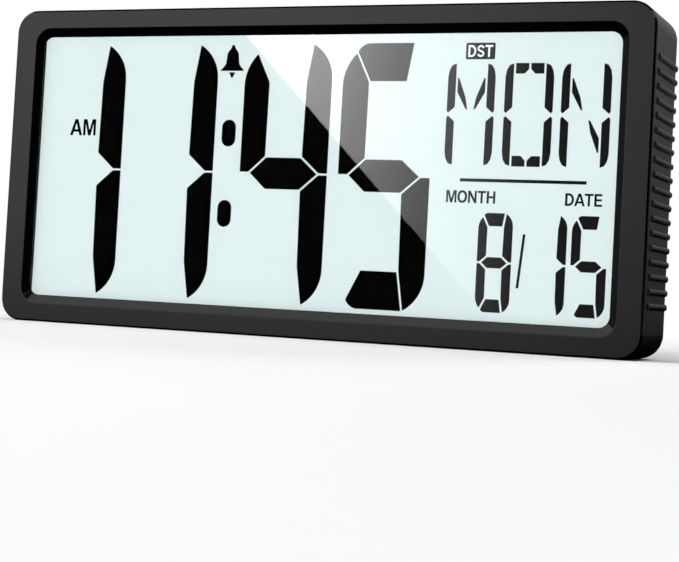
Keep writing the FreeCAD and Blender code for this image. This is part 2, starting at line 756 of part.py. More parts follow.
def lcd_holder():
    body = plate(0.0, GLASS_Z, HOLDER_W, HOLDER_H, (HOLDER_FRONT, HOLDER_BACK))
    bosses = [prism(x, z, SMALL_BOSS_R, (HOLDER_FRONT, BOARD_FRONT)) for x, z in board_boss_places()]
    body = body.fuse(holder_ears() + holder_ribs() + bosses)
    half = ZEBRA_W / 2 + FIT
    slots = [block((lo - FIT, hi + FIT), (ZEBRA_Z - half, ZEBRA_Z + half), (HOLDER_FRONT, BOARD_FRONT))
             for lo, hi in zebra_spans()]
    clear = SMALL_SCREW_R + SCREW_PLAY
    holes = [prism(x, z, clear, (HOLDER_FRONT, HOLDER_BACK)) for x, z in clip_places()]
    pilot = SMALL_SCREW_R + PILOT_PLAY
    depth = (BOARD_FRONT - SMALL_SCREW_L, BOARD_FRONT)
    holes += [prism(x, z, pilot, depth) for x, z in board_boss_places()]
    return body.cut(slots + holes).removeSplitter()


def holder_screws():
    length = SMALL_SCREW_L + HOLDER_T - FIT
    return [screw(x, z, HOLDER_BACK, SMALL_SCREW_R, length, SMALL_HEAD_R, SMALL_HEAD_T)
            for x, z in clip_places()]


def zebra_strips():
    z = (ZEBRA_Z - ZEBRA_W / 2, ZEBRA_Z + ZEBRA_W / 2)
    return [block(span, z, (GLASS_BACK, BOARD_FRONT)) for span in zebra_spans()]


def main_board():
    body = plate(0.0, BOARD_Z, BOARD_W, BOARD_H, (BOARD_FRONT, BOARD_BACK))
    clear = SMALL_SCREW_R + SCREW_PLAY
    return body.cut([prism(x, z, clear, (BOARD_FRONT, BOARD_BACK)) for x, z in board_boss_places()])


def board_screws():
    length = SMALL_SCREW_L + BOARD_T - FIT
    return [screw(x, z, BOARD_BACK, SMALL_SCREW_R, length, SMALL_HEAD_R, SMALL_HEAD_T)
            for x, z in board_boss_places()]


def controller_blob():
    """Low drop of resin over the controller chip."""
    middle_r, middle_h = dome_middle(BLOB_R, BLOB_H)
    low = cone(BLOB_X, BOARD_Z, (BLOB_R, middle_r), (BOARD_BACK, BOARD_BACK + middle_h), FLAT_COUNT)
    high = (BOARD_BACK + middle_h, BOARD_BACK + BLOB_H)
    return low.fuse(cone(BLOB_X, BOARD_Z, (middle_r, middle_r / 2), high, FLAT_COUNT))


def quartz_crystal():
    """Small can lying on the board."""
    centre = BOARD_BACK + CRYSTAL_R * cos(pi / ROUND_FLAT_COUNT)
    return cross_prism((CRYSTAL_X, CRYSTAL_X + CRYSTAL_L), centre, BOARD_Z, CRYSTAL_R, ROUND_FLAT_COUNT)


def board_capacitors():
    return [prism(x, BOARD_Z, CAPACITOR_R, (BOARD_BACK, BOARD_BACK + CAPACITOR_H), ROUND_FLAT_COUNT)
            for x in CAPACITOR_X]


# ---- rear case ----
def rib_profile(side, z):
    """Section of a rib across its length, on the side of the sign given."""
    sink = RIB_R - RIB_PROUD
    spread = acos(sink / RIB_R / 2)
    turns = [spread * (2 * i / RIB_FACETS - 1) for i in range(RIB_FACETS + 1)]
    centre = CASE_W / 2 - sink
    y = at(RIB_START)
    corners = [V(side * (centre + RIB_R * cos(a)), y, z + RIB_R * sin(a)) for a in turns]
    return Part.Face(Part.makePolygon(corners + corners[:1]))


def rib_plan(side):
    """Outline of every rib seen from above, with a slope at each end."""
    base = CASE_W / 2 - RIB_R
    foot = CASE_W / 2 + RIB_PROUD / 3
    top = CASE_W / 2 + RIB_PROUD
    start = RIB_START
    end = CASE_D - RIB_END_GAP
    steps = [(start, base), (start, foot), (start + RIB_NOSE, top), (end - RIB_NOSE, top),
             (end, foot), (end, base)]
    wire = closed_wire(steps, lambda depth, x: V(side * x, at(depth), 0))
    return Part.Face(wire).extrude(V(0, 0, CASE_H))


def grip_ribs():
    """Raised ribs with sloped ends on both sides."""
    ribs = []
    length = V(0, CASE_D - RIB_END_GAP - RIB_START, 0)
    for side in (-1, 1):
        bars = []
        for i in range(RIB_COUNT):
            z = MID_Z + (i - (RIB_COUNT - 1) / 2) * RIB_PITCH
            bars.append(rib_profile(side, z).extrude(length))
        ribs.append(Part.makeCompound(bars).common(rib_plan(side)))
    return ribs


def case_shell():
    """Outer shell with a softened rear edge and the grip ribs."""
    r = REAR_EDGE_R
    turns = [radians(a) for a in (0, 45, 90)]
    rings = [(CASE_W - 2 * r * (1 - cos(a)), CASE_H - 2 * r * (1 - cos(a)),
              CORNER_R - r * (1 - cos(a)), CASE_D - r * (1 - sin(a))) for a in turns]
    body = slab(CASE_W, CASE_H, CORNER_R, (SEAM_END, CASE_D - r))
    body = body.fuse([funnel(rings[0], rings[1]), funnel(rings[1], rings[2])] + grip_ribs())
    inside = inner_slab(CASE_W - 2 * WALL, CASE_H - 2 * WALL, CORNER_R - WALL, (SEAM_END, REAR_INSIDE))
    return body.cut(inside)


def battery_walls():
    """Bay walls and the thicker frame behind the door."""
    out = BAY_WALL
    tub = block((BAY_LEFT - out, BAY_RIGHT + out), (BAY_LOW - out, BAY_TOP + out),
                (BAY_FLOOR - out, REAR_INSIDE))
    rim = plate(BAY_X, BAY_Z, RECESS_W + 2 * out, RECESS_H + 2 * out, (DOOR_DEPTH - LEDGE_T, REAR_INSIDE))
    return [tub, rim]


def battery_hollow():
    """Space for the cells, the door's recess, and the notches for its tabs and latch."""
    bay = block((BAY_LEFT, BAY_RIGHT), (BAY_LOW, BAY_TOP), (BAY_FLOOR, CASE_D))
    recess = plate(BAY_X, BAY_Z, RECESS_W, RECESS_H, (DOOR_DEPTH, CASE_D))
    deep = TAB_DEPTH - TAB_L - FIT
    cuts = [bay, recess]
    for side in (-1, 1):
        x = BAY_X + side * TAB_X
        half = TAB_W / 2 + FIT
        cuts.append(block((x - half, x + half), (RECESS_LOW, BAY_LOW), (deep, CASE_D)))
        cuts.append(block((x - half, x + half), (RECESS_LOW - TAB_L - FIT, BAY_LOW), (deep, REAR_INSIDE)))
    half = LATCH_W / 2 + FIT
    behind = DOOR_DEPTH - LATCH_ARM_T - FIT
    cuts.append(block((BAY_X - half, BAY_X + half), (BAY_TOP, RECESS_TOP), (behind, CASE_D)))
    half = CONTACT_TAB_W / 2 + CONTACT_PLAY
    for z in CELL_ROWS:
        cuts.append(block((BAY_LEFT, BAY_LEFT + CONTACT_T + CONTACT_PLAY), (z - half, z + half),
                          (BAY_FLOOR - BAY_WALL, BAY_FLOOR)))
    return cuts


def battery_cradles():
    """Curved supports on the floor of the bay."""
    cells = [cross_rod((BAY_LEFT, BAY_RIGHT), CELL_DEPTH, z, CELL_R) for z in CELL_ROWS]
    ribs = []
    depth = (BAY_FLOOR, BAY_FLOOR + CRADLE_H)
    count = int((BAY_L - CRADLE_STEP) / CRADLE_STEP)
    for i in range(count):
        x = BAY_X + (i - (count - 1) / 2) * CRADLE_STEP
        rib = block((x - CRADLE_T / 2, x + CRADLE_T / 2), (BAY_LOW, BAY_TOP), depth)
        ribs.append(rib.cut(cells))
    return ribs


def stand_walls():
    """Box behind the leg's recess, with a boss for each end of the hinge pin."""
    w = STAND_W + 2 * STAND_WALL
    low = WALL / 2
    high = STAND_TOP + STAND_WALL
    box = block((-w / 2, w / 2), (low, high), (STAND_FLOOR - STAND_WALL, REAR_INSIDE))
    span = (-PIN_HALF - STAND_WALL, PIN_HALF + STAND_WALL)
    ends = cross_prism(span, PIVOT_DEPTH, PIVOT_Z, KNUCKLE_R, FLAT_COUNT)
    return [box, ends]


def stand_hollow():
    """Recess for the leg, and the bore for its pin."""
    recess = slab(STAND_W, STAND_TOP - STAND_LOW, STAND_R, (STAND_FLOOR, CASE_D),
                  0.0, (STAND_TOP + STAND_LOW) / 2)
    return [recess, cross_rod((-PIN_HALF, PIN_HALF), PIVOT_DEPTH, PIVOT_Z, PIN_R + PIN_PLAY)]


def keyhole_cups():
    half = KEYHOLE_R + KEYHOLE_SIDE + KEYHOLE_WALL
    low = KEYHOLE_Z - half
    high = KEYHOLE_Z + KEYHOLE_RISE + half
    depth = (KEYHOLE_FLOOR - KEYHOLE_WALL, REAR_INSIDE)
    return [block((x - half, x + half), (low, high), depth) for x in (-KEYHOLE_X, KEYHOLE_X)]


def keyhole_cuts():
    """Round entry, narrow neck above it, and the pocket behind both."""
    half = KEYHOLE_R + KEYHOLE_SIDE
    neck = KEYHOLE_NECK / 2
    neck_z = KEYHOLE_Z + KEYHOLE_RISE
    pocket = (KEYHOLE_Z - half, neck_z + half)
    cuts = []
    for x in (-KEYHOLE_X, KEYHOLE_X):
        cuts.append(block((x - half, x + half), pocket, (KEYHOLE_FLOOR, REAR_INSIDE)))
        cuts.append(rod(x, KEYHOLE_Z, KEYHOLE_R, (REAR_INSIDE, CASE_D)))
        cuts.append(block((x - neck, x + neck), (KEYHOLE_Z, neck_z), (REAR_INSIDE, CASE_D)))
        cuts.append(rod(x, neck_z, neck, (REAR_INSIDE, CASE_D)))
    return cuts


def control_pan():
    """Wall of the control recess, and the posts that carry the key board."""
    rim = 2 * WALL
    depth = (PANEL_INSIDE, REAR_INSIDE)
    pan = inner_slab(PANEL_W + rim, PANEL_H + rim, PANEL_R + WALL, depth, KEY_BOARD_X, KEY_Z)
    posts = [prism(x, z, SMALL_BOSS_R, (KEY_BOARD_BACK, PANEL_INSIDE)) for x, z in key_post_places()]
    return [pan] + posts


def key_cuts():
    """Control recess, holes for the buttons, and the slot for the slide switch."""
    cuts = [slab(PANEL_W, PANEL_H, PANEL_R, (PANEL_BACK, CASE_D), KEY_BOARD_X, KEY_Z)]
    cuts += [prism(x, KEY_Z, KEY_R + KEY_PLAY, (PANEL_INSIDE, PANEL_BACK), ROUND_FLAT_COUNT) for x in KEY_X]
    length = SLIDER_W + SLIDER_TRAVEL + 2 * FIT
    cuts.append(plate(SLIDER_X, KEY_Z, length, SLIDER_H + 2 * FIT, (PANEL_INSIDE, PANEL_BACK)))
    pilot = SMALL_SCREW_R + PILOT_PLAY
    for x, z in key_post_places():
        cuts.append(prism(x, z, pilot, (KEY_BOARD_BACK, KEY_BOARD_BACK + SMALL_SCREW_L)))
    return cuts


def sound_holes():
    """A hole in the middle and a ring of them round it."""
    holes = [prism(SOUNDER_X, SOUNDER_Z, SOUND_HOLE_R, (REAR_INSIDE, CASE_D))]
    for i in range(SOUND_HOLES):
        turn = 2 * pi * i / SOUND_HOLES
        x = SOUNDER_X + SOUND_RING_R * cos(turn)
        z = SOUNDER_Z + SOUND_RING_R * sin(turn)
        holes.append(prism(x, z, SOUND_HOLE_R, (REAR_INSIDE, CASE_D)))
    return holes


def sounder_ring():
    """Collar inside the rear wall that the piezo disc sits on."""
    depth = (PIEZO_BACK, REAR_INSIDE)
    collar = prism(SOUNDER_X, SOUNDER_Z, PIEZO_R, depth, ROUND_FLAT_COUNT)
    return collar.cut(prism(SOUNDER_X, SOUNDER_Z, PIEZO_R - PIEZO_LEDGE, depth, ROUND_FLAT_COUNT))


def hook_pockets():
    """Blind pockets in the base that the bezel's hooks catch in."""
    end = SKIRT_END + HOOK_L
    low = WALL - HOOK_NOSE
    half = HOOK_W / 2 + FIT
    depth = (end - HOOK_NOSE_L - FIT, end + FIT)
    return [block((x - half, x + half), (low, WALL), depth) for x in HOOK_X]


def rear_case():
    tubes = [prism(x, z, TUBE_R, (BOSS_END, REAR_INSIDE)) for x, z in case_boss_places()]
    limit = inner_slab(CASE_W - WALL, CASE_H - WALL, CORNER_R - WALL / 2, (SEAM_END, REAR_INSIDE))
    tubes = [tube.common(limit) for tube in tubes]
    inner = battery_walls() + stand_walls() + keyhole_cups() + control_pan()
    body = case_shell().fuse(inner + tubes + [sounder_ring()])
    cuts = battery_hollow() + stand_hollow() + keyhole_cuts() + key_cuts() + sound_holes() + hook_pockets()
    for x, z in case_boss_places():
        cuts.append(prism(x, z, SCREW_HEAD_R + SCREW_PLAY, (TUBE_SEAT, CASE_D)))
        cuts.append(prism(x, z, SCREW_R + SCREW_PLAY, (BOSS_END, TUBE_SEAT)))
    return body.cut(cuts).fuse(battery_cradles()).removeSplitter()


def case_screws():
    length = SCREW_L + TUBE_FLOOR - FIT
    return [screw(x, z, TUBE_SEAT, SCREW_R, length, SCREW_HEAD_R, SCREW_HEAD_T)
            for x, z in case_boss_places()]


# ---- batteries ----
def cell_start(row, place):
    """X of the low end of a cell. The spring is at the left of the lower row and the right of the upper."""
    spare = CONTACT_T + (SPRING_L if row == 0 else 0.0) + END_PLAY / 2
    return BAY_LEFT + spare + place * CELL_L


def battery_cell(row, place):
    """Round cell with a raised positive cap, which points away from the spring."""
    start = cell_start(row, place)
    end = start + CELL_L
    can = (start, end - CELL_NUB_L) if row == 0 else (start + CELL_NUB_L, end)
    z = CELL_ROWS[row]
    cap = block((start, end), (z - CELL_NUB_R, z + CELL_NUB_R),
                (CELL_DEPTH - CELL_NUB_R, CELL_DEPTH + CELL_NUB_R))
    return cross_prism(can, CELL_DEPTH, z, CELL_R, CELL_FLAT_COUNT).fuse(cap)


def terminal(row):
    """Sheet contact against the left wall of the bay, with a solder tab through the floor."""
    z = CELL_ROWS[row]
    half = CONTACT_SIZE / 2
    x = (BAY_LEFT, BAY_LEFT + CONTACT_T)
    sheet = block(x, (z - half, z + half), (CELL_DEPTH - half, CELL_DEPTH + half))
    tab = block(x, (z - CONTACT_TAB_W / 2, z + CONTACT_TAB_W / 2), (TAB_END, CELL_DEPTH))
    return sheet.fuse(tab)


def battery_link_plate():
    """One sheet across both rows at the right end."""
    half = CONTACT_SIZE / 2
    return block((BAY_RIGHT - CONTACT_T, BAY_RIGHT), (CELL_ROWS[0] - half, CELL_ROWS[1] + half),
                 (CELL_DEPTH - half, CELL_DEPTH + half))


def leaf_spring(wall, side, z):
    """Bowed strip from a contact plate at x = wall towards the cell, on the side of the sign given."""
    steps = []
    for way, inset in ((1, 0.0), (-1, SPRING_T)):
        half = CONTACT_SIZE / 2 - SPRING_T - inset
        shares = [way * share for share in (-1.0, -0.5, 0.0, 0.5, 1.0)]
        steps += [((SPRING_L - inset) * (1 - share ** 2), half * share) for share in shares]
    front = at(CELL_DEPTH - SPRING_W / 2)
    wire = closed_wire(steps, lambda out, up: V(wall + side * out, front, z + up))
    return Part.Face(wire).extrude(V(0, SPRING_W, 0))


def battery_leaf_springs():
    """One spring at the left of the lower row, one at the right of the upper row."""
    return [leaf_spring(BAY_LEFT + CONTACT_T, 1, CELL_ROWS[0]),
            leaf_spring(BAY_RIGHT - CONTACT_T, -1, CELL_ROWS[1])]


def battery_lead(row):
    """Lead from a terminal's tab, down below the bay and onto the back of the main board."""
    x = BAY_LEFT + CONTACT_T / 2
    depth = TAB_END + LEAD_R
    start = CELL_ROWS[row] - CONTACT_TAB_W / 2
    points = [(x, depth, start)]
    if row == 1:
        points.append((x, depth, start - LEAD_STEP))
        x -= LEAD_STEP
        points.append((x, depth, CELL_ROWS[0] + CONTACT_TAB_W))
    under = BAY_LOW - BAY_WALL
    over = BOARD_BACK + LEAD_BEND / 3
    points += [(x, depth, under), (x, over, under - LEAD_BEND)]
    points += [(x, over, SOLDER_Z), (x, BOARD_BACK, SOLDER_Z)]
    return lead(points, wire_section(points, LEAD_R))


def buzzer_leads():
    """Two leads from the faces of the piezo disc to the main board."""
    front = PIEZO_BACK - PIEZO_T
    low = SOUNDER_Z - (PIEZO_R + CERAMIC_R) / 2
    starts = [(SOUNDER_X, front - CERAMIC_T, SOUNDER_Z), (SOUNDER_X + LEAD_STEP / 2, front, low)]
    wires = []
    for i, (x, depth, z) in enumerate(starts):
        end_x = SOUNDER_X + i * LEAD_STEP
        points = [(x, depth, z), (x, depth - 1.5 * LEAD_BEND, z),
                  (end_x, BOARD_BACK + 1.5 * LEAD_BEND, SOLDER_Z), (end_x, BOARD_BACK, SOLDER_Z)]
        wires.append(lead(points, wire_section(points, LEAD_R)))
    return wires


def key_ribbon_cable():
    """Flat cable from the key board down to the main board."""
    z = KEY_Z - KEY_BOARD_H / 4
    points = [(RIBBON_X, KEY_BOARD_FRONT, z), (RIBBON_X, KEY_BOARD_FRONT - RIBBON_DROP / 2, z),
              (RIBBON_X, BOARD_BACK + RIBBON_DROP / 2, SOLDER_Z), (RIBBON_X, BOARD_BACK, SOLDER_Z)]
    y = at(KEY_BOARD_FRONT)
    corners = [V(RIBBON_X + side * RIBBON_W / 2, y, z + up * RIBBON_T / 2)
               for side, up in ((-1, -1), (1, -1), (1, 1), (-1, 1), (-1, -1))]
    return lead(points, Part.makePolygon(corners))


def battery_door():
    """Door with two hooked tabs below, a latch tongue above and a ribbed thumb dish."""
    w = RECESS_W - 2 * FIT
    h = RECESS_H - 2 * FIT
    low = BAY_Z - h / 2
    top = BAY_Z + h / 2
    parts = []
    for side in (-1, 1):
        x = BAY_X + side * TAB_X
        steps = [(DOOR_DEPTH, low), (TAB_DEPTH + TAB_T, low), (TAB_DEPTH + TAB_T, RECESS_LOW - TAB_L),
                 (TAB_DEPTH, RECESS_LOW - TAB_L), (TAB_DEPTH, low + 2 * TAB_T), (DOOR_DEPTH, low + 2 * TAB_T)]
        parts.append(side_prism(steps, (x - TAB_W / 2, x + TAB_W / 2)))
    half = LATCH_W / 2 - LATCH_SLOT
    steps = [(DOOR_DEPTH, top - LATCH_L / 2), (DOOR_DEPTH - LATCH_ARM_T, top - LATCH_ARM_T),
             (DOOR_DEPTH - LATCH_ARM_T, top), (DOOR_DEPTH, top)]
    parts.append(side_prism(steps, (BAY_X - half, BAY_X + half)))
    body = plate(BAY_X, BAY_Z, w, h, (DOOR_DEPTH, CASE_D)).fuse(parts)
    cuts = []
    for side in (-1, 1):
        x = BAY_X + side * (LATCH_W - LATCH_SLOT) / 2
        cuts.append(plate(x, top - LATCH_L / 2, LATCH_SLOT, LATCH_L, (DOOR_DEPTH - LATCH_ARM_T, CASE_D)))
    dish_z = top - LATCH_L - LATCH_W / 2
    dish = slab(2 * LATCH_W, LATCH_W * 0.7, DISH_R, (CASE_D - DISH_DEEP, CASE_D), BAY_X, dish_z)
    bars = [plate(BAY_X, dish_z + step * LATCH_W / 5, 1.4 * LATCH_W, 1.0, (CASE_D - DISH_DEEP, CASE_D))
            for step in (-1, 0, 1)]
    return body.cut(cuts + [dish]).fuse(bars)


def battery_door_pad():
    """Foam pad inside the door that keeps the cells quiet."""
    return plate(BAY_X, BAY_Z, PAD_W, PAD_H, (DOOR_DEPTH - PAD_T, DOOR_DEPTH))


# ---- stand ----
def leg_plate():
    r = STAND_R - STAND_GAP
    middle = (LEG_TOP + LEG_LOW) / 2
    h = LEG_TOP - LEG_LOW
    sheet = slab(LEG_W, h, r, (LEG_FRONT, LEG_BACK), 0.0, middle)
    rim_h = PIVOT_Z - KNUCKLE_R - LEG_LOW
    rim = frame(LEG_W, rim_h, r, LEG_RIM_T, (LEG_FRONT - LEG_RIM_H, LEG_FRONT), LEG_LOW + rim_h / 2)
    return sheet.fuse(rim)


def stand_leg():
    """Ribbed leg with two hinge knuckles, a slot down the middle and a finger notch at the foot."""
    parts = []
    for side in (-1, 1):
        inner = side * (KNUCKLE_OUT - KNUCKLE_W)
        span = (min(inner, side * KNUCKLE_OUT), max(inner, side * KNUCKLE_OUT))
        parts.append(cross_rod(span, PIVOT_DEPTH, PIVOT_Z, KNUCKLE_R))
        parts.append(block(span, (PIVOT_Z - KNUCKLE_R, PIVOT_Z + KNUCKLE_R), (PIVOT_DEPTH, LEG_FRONT)))
    body = leg_plate().fuse(parts)
    slot_low = LEG_LOW + 2 * NOTCH_R + LEG_SLOT_W
    slot_h = PIVOT_Z - 2 * LEG_SLOT_W - slot_low
    slot = slab(LEG_SLOT_W, slot_h, LEG_SLOT_W * 0.49, (LEG_FRONT, LEG_BACK), 0.0, slot_low + slot_h / 2)
    notch = rod(0.0, LEG_LOW, NOTCH_R, (LEG_FRONT - LEG_RIM_H, LEG_BACK))
    bore = cross_rod((-KNUCKLE_OUT, KNUCKLE_OUT), PIVOT_DEPTH, PIVOT_Z, PIN_R + PIN_PLAY)
    return body.cut([slot, notch, bore]).removeSplitter()


def stand_hinge_pin():
    return cross_rod((-PIN_HALF, PIN_HALF), PIVOT_DEPTH, PIVOT_Z, PIN_R)


# ---- controls and sounder ----
def key_cap(x):
    """Button with a softened edge, a flange behind the wall and a stem on the switch plunger."""
    flange_back = PANEL_INSIDE - FIT
    flange_front = flange_back - KEY_FLANGE_T
    face = PANEL_BACK + KEY_PROUD
    brim = face - KEY_ROUND
    stem = prism(x, KEY_Z, KEY_STEM_R, (PLUNGER_TOP, flange_front))
    flange = prism(x, KEY_Z, KEY_R + KEY_FLANGE, (flange_front, flange_back))
    cap = prism(x, KEY_Z, KEY_R, (flange_back, brim), ROUND_FLAT_COUNT)
    top = cone(x, KEY_Z, (KEY_R, KEY_R - KEY_ROUND), (brim, face), ROUND_FLAT_COUNT)
    return cap.fuse([stem, flange, top])


def key_plunger(x):
    return prism(x, KEY_Z, PLUNGER_R, (SWITCH_TOP - PLUNGER_SUNK, PLUNGER_TOP))


def key_switches():
    """Square push switches with a bore for the plunger."""
    switches = []
    deep = PLUNGER_SUNK + KEY_TRAVEL + FIT
    for x in KEY_X:
        body = plate(x, KEY_Z, SWITCH_SIZE, SWITCH_SIZE, (KEY_BOARD_BACK, SWITCH_TOP))
        bore = prism(x, KEY_Z, PLUNGER_R + PLUNGER_PLAY, (SWITCH_TOP - deep, SWITCH_TOP))
        switches.append(body.cut(bore))
    return switches


def key_board():
    body = plate(KEY_BOARD_X, KEY_Z, KEY_BOARD_W, KEY_BOARD_H, (KEY_BOARD_FRONT, KEY_BOARD_BACK))
    clear = SMALL_SCREW_R + SCREW_PLAY
    return body.cut([prism(x, z, clear, (KEY_BOARD_FRONT, KEY_BOARD_BACK)) for x, z in key_post_places()])


def key_board_screws():
    """Screws driven from inside the case, so each is turned end for end."""
    length = SMALL_SCREW_L + BOARD_T - FIT
    screws = []
    for x, z in key_post_places():
        one = screw(x, z, KEY_BOARD_FRONT, SMALL_SCREW_R, length, SMALL_HEAD_R, SMALL_HEAD_T)
        screws.append(one.mirror(V(0, at(KEY_BOARD_FRONT), 0), V(0, 1, 0)))
    return screws


def alarm_switch_body():
    """Body of the slide switch, with the groove that the slider runs in."""
    top = KEY_BOARD_BACK + SLIDER_BODY_T
    body = plate(SLIDER_X, KEY_Z, SLIDER_BODY_W, SLIDER_BODY_H, (KEY_BOARD_BACK, top))
    length = SLIDER_W + SLIDER_TRAVEL + 2 * SLIDER_PLAY
    return body.cut(plate(SLIDER_X, KEY_Z, length, SLIDER_H + 2 * SLIDER_PLAY, (top - SLIDER_GROOVE, top)))


def alarm_slider():
    """Slider at the left end of its travel, with a ridged thumb piece outside the case."""
    x = SLIDER_X - SLIDER_TRAVEL / 2
    foot = KEY_BOARD_BACK + SLIDER_BODY_T - SLIDER_GROOVE + SLIDER_PLAY
    tip = PANEL_BACK + SLIDER_PROUD
    body = plate(x, KEY_Z, SLIDER_W, SLIDER_H, (foot, tip))
    ridge = SLIDER_W / 5
    grooves = [plate(x + side * ridge, KEY_Z, ridge, SLIDER_H, (tip - ridge, tip)) for side in (-1, 1)]
    return body.cut(grooves)


def piezo_disc():
    """Brass disc with a smaller ceramic disc on its inner face."""
    seat = PIEZO_BACK - PIEZO_T
    brass = prism(SOUNDER_X, SOUNDER_Z, PIEZO_R, (seat, PIEZO_BACK), ROUND_FLAT_COUNT)
    return brass.fuse(prism(SOUNDER_X, SOUNDER_Z, CERAMIC_R, (seat - CERAMIC_T, seat), ROUND_FLAT_COUNT))


# ---- what is in each file ----
def nodes():
    parts = {
        "front_bezel": front_bezel(),
        "lens_tape": lens_tape(),
        "display_lens": display_lens(),
        "dust_gasket": dust_gasket(),
        "front_polariser": front_polariser(),
        "lcd_front_glass": lcd_front_glass(),
        "lcd_time_segments": time_segments(),
        "lcd_weekday_segments": weekday_segments(),
        "lcd_date_segments": date_segments(),
        "lcd_rear_glass": lcd_rear_glass(),
        "reflector_film": reflector_film(),
        "lcd_holder": lcd_holder(),
        "holder_screws": holder_screws(),
        "zebra_strips": zebra_strips(),
        "main_board": main_board(),
        "board_screws": board_screws(),
        "controller_blob": controller_blob(),
        "quartz_crystal": quartz_crystal(),
        "board_capacitors": board_capacitors(),
        "rear_case": rear_case(),
        "case_screws": case_screws(),
        "battery_leaf_springs": battery_leaf_springs(),
        "battery_link_plate": battery_link_plate(),
        "negative_terminal": terminal(0),
        "positive_terminal": terminal(1),
        "battery_lead_black": battery_lead(0),
        "battery_lead_red": battery_lead(1),
        "buzzer_leads": buzzer_leads(),
        "key_ribbon_cable": key_ribbon_cable(),
        "battery_door": battery_door(),
        "battery_door_pad": battery_door_pad(),
        "stand_leg": stand_leg(),
        "stand_hinge_pin": stand_hinge_pin(),
        "key_board": key_board(),
        "key_board_screws": key_board_screws(),
        "key_switches": key_switches(),
        "alarm_switch_body": alarm_switch_body(),
        "alarm_slider": alarm_slider(),
        "piezo_disc": piezo_disc(),
    }
    for row in (0, 1):
        for place in (0, 1):
            parts[f"battery_cell_{1 + 2 * row + place}"] = battery_cell(row, place)
    for name, x in zip(KEY_NAMES, KEY_X):
        parts[f"{name}_button"] = key_cap(x)
        parts[f"{name}_plunger"] = key_plunger(x)
    return parts


def main():
    os.makedirs("parts", exist_ok=True)
    for name, made in nodes().items():
        solids = made if isinstance(made, list) else [made]
        solids = [piece for shape in solids for piece in shape.Solids]
        shape = solids[0] if len(solids) == 1 else Part.makeCompound(solids)
        shape.exportStep(f"parts/{name}.step")
        print(f"{name}: {len(solids)} solid(s), {shape.Volume / 1000:.2f} cm3, valid {shape.isValid()}")


main()
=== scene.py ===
# %% [markdown]
# # A large-display calendar alarm clock
# The clock is a flat black case, 350 mm wide, with a reflective liquid crystal display behind
# a clear plastic lens. Its solids come packed from the workshop as a fixed frame. This notebook
# gives every one of them its real finish and adds what is too fine to machine: the fixed
# symbols of the display, the words beside the keys and the jackets of the battery cells.

# %% Load the frame
from math import cos, pi, radians, sin

import bmesh
import bpy
from mathutils import Matrix, Vector


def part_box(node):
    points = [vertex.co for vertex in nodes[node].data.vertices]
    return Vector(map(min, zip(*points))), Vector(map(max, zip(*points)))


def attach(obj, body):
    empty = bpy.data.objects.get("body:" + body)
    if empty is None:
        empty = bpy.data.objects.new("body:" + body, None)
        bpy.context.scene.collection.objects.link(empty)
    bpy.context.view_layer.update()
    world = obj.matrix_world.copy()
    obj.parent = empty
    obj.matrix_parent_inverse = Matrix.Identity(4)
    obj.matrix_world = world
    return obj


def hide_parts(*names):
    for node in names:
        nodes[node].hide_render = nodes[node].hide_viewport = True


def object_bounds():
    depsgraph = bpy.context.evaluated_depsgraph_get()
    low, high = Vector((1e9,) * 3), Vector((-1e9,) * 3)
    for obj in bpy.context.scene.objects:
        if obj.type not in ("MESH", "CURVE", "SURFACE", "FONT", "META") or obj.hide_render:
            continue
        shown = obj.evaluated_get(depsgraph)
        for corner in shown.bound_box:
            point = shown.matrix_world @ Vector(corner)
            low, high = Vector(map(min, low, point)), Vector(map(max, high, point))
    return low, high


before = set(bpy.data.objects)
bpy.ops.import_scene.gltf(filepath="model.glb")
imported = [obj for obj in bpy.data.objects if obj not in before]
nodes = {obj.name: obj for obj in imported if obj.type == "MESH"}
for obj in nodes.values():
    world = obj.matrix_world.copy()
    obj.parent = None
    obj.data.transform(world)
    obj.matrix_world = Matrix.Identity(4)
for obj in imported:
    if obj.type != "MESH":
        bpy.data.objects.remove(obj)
cad_low, cad_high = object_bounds()
MM = 0.001
print("frame of", len(nodes), "nodes,", [round(v / MM, 1) for v in cad_high - cad_low], "mm")

# %% [markdown]
# ## The camera
# A product picture of a wide, thin object is taken with a long lens from one side, low down, so
# that the front stays legible and one end wall shows its thickness. The turns are written as yaw,
# pitch and roll. A small downward shift keeps the object in the upper half of the picture
# and leaves its upright edges nearly parallel, as tilting the camera wouldn't.

# %% Camera
PICTURE_WIDE = 679
SENSOR_MM = 36.0
FOCAL_PIXELS = 1646.9
SHIFT_PIXELS = 50.0
CAMERA_AT = Vector((0.3363, -0.7799, 0.0233))
YAW, PITCH, ROLL = radians(22.642), radians(2.203), radians(3.158)

turn = Matrix.Rotation(YAW, 4, "Z") @ Matrix.Rotation(pi / 2 + PITCH, 4, "X") @ Matrix.Rotation(ROLL, 4, "Z")
camera = bpy.data.objects.new("camera", bpy.data.cameras.new("camera"))
camera.data.sensor_width = SENSOR_MM
camera.data.lens = FOCAL_PIXELS / PICTURE_WIDE * SENSOR_MM
camera.data.shift_y = -SHIFT_PIXELS / PICTURE_WIDE
camera.data.clip_start = 0.01                           # the table passes close below the lens
camera.matrix_world = Matrix.Translation(CAMERA_AT) @ turn
bpy.context.scene.collection.objects.link(camera)
bpy.context.scene.camera = camera
bpy.context.scene.view_settings.view_transform = "Standard"
bpy.context.scene.cycles.transparent_max_bounces = 32   # light crosses the clear layers twice
print("lens", round(camera.data.lens, 2), "mm")

# %% [markdown]
# ## Tools for finishes
# Colours are written as the sRGB hex codes that a designer picks, and turned to linear light in
# one place. One function adds a shader node with its settings and its links.

# %% Colour and node helpers
def colour(code):
    """The linear RGBA of an sRGB hex code."""
    parts = [int(code[i:i + 2], 16) / 255 for i in (1, 3, 5)]
    return tuple(c / 12.92 if c <= 0.04045 else ((c + 0.055) / 1.055) ** 2.4 for c in parts) + (1.0,)


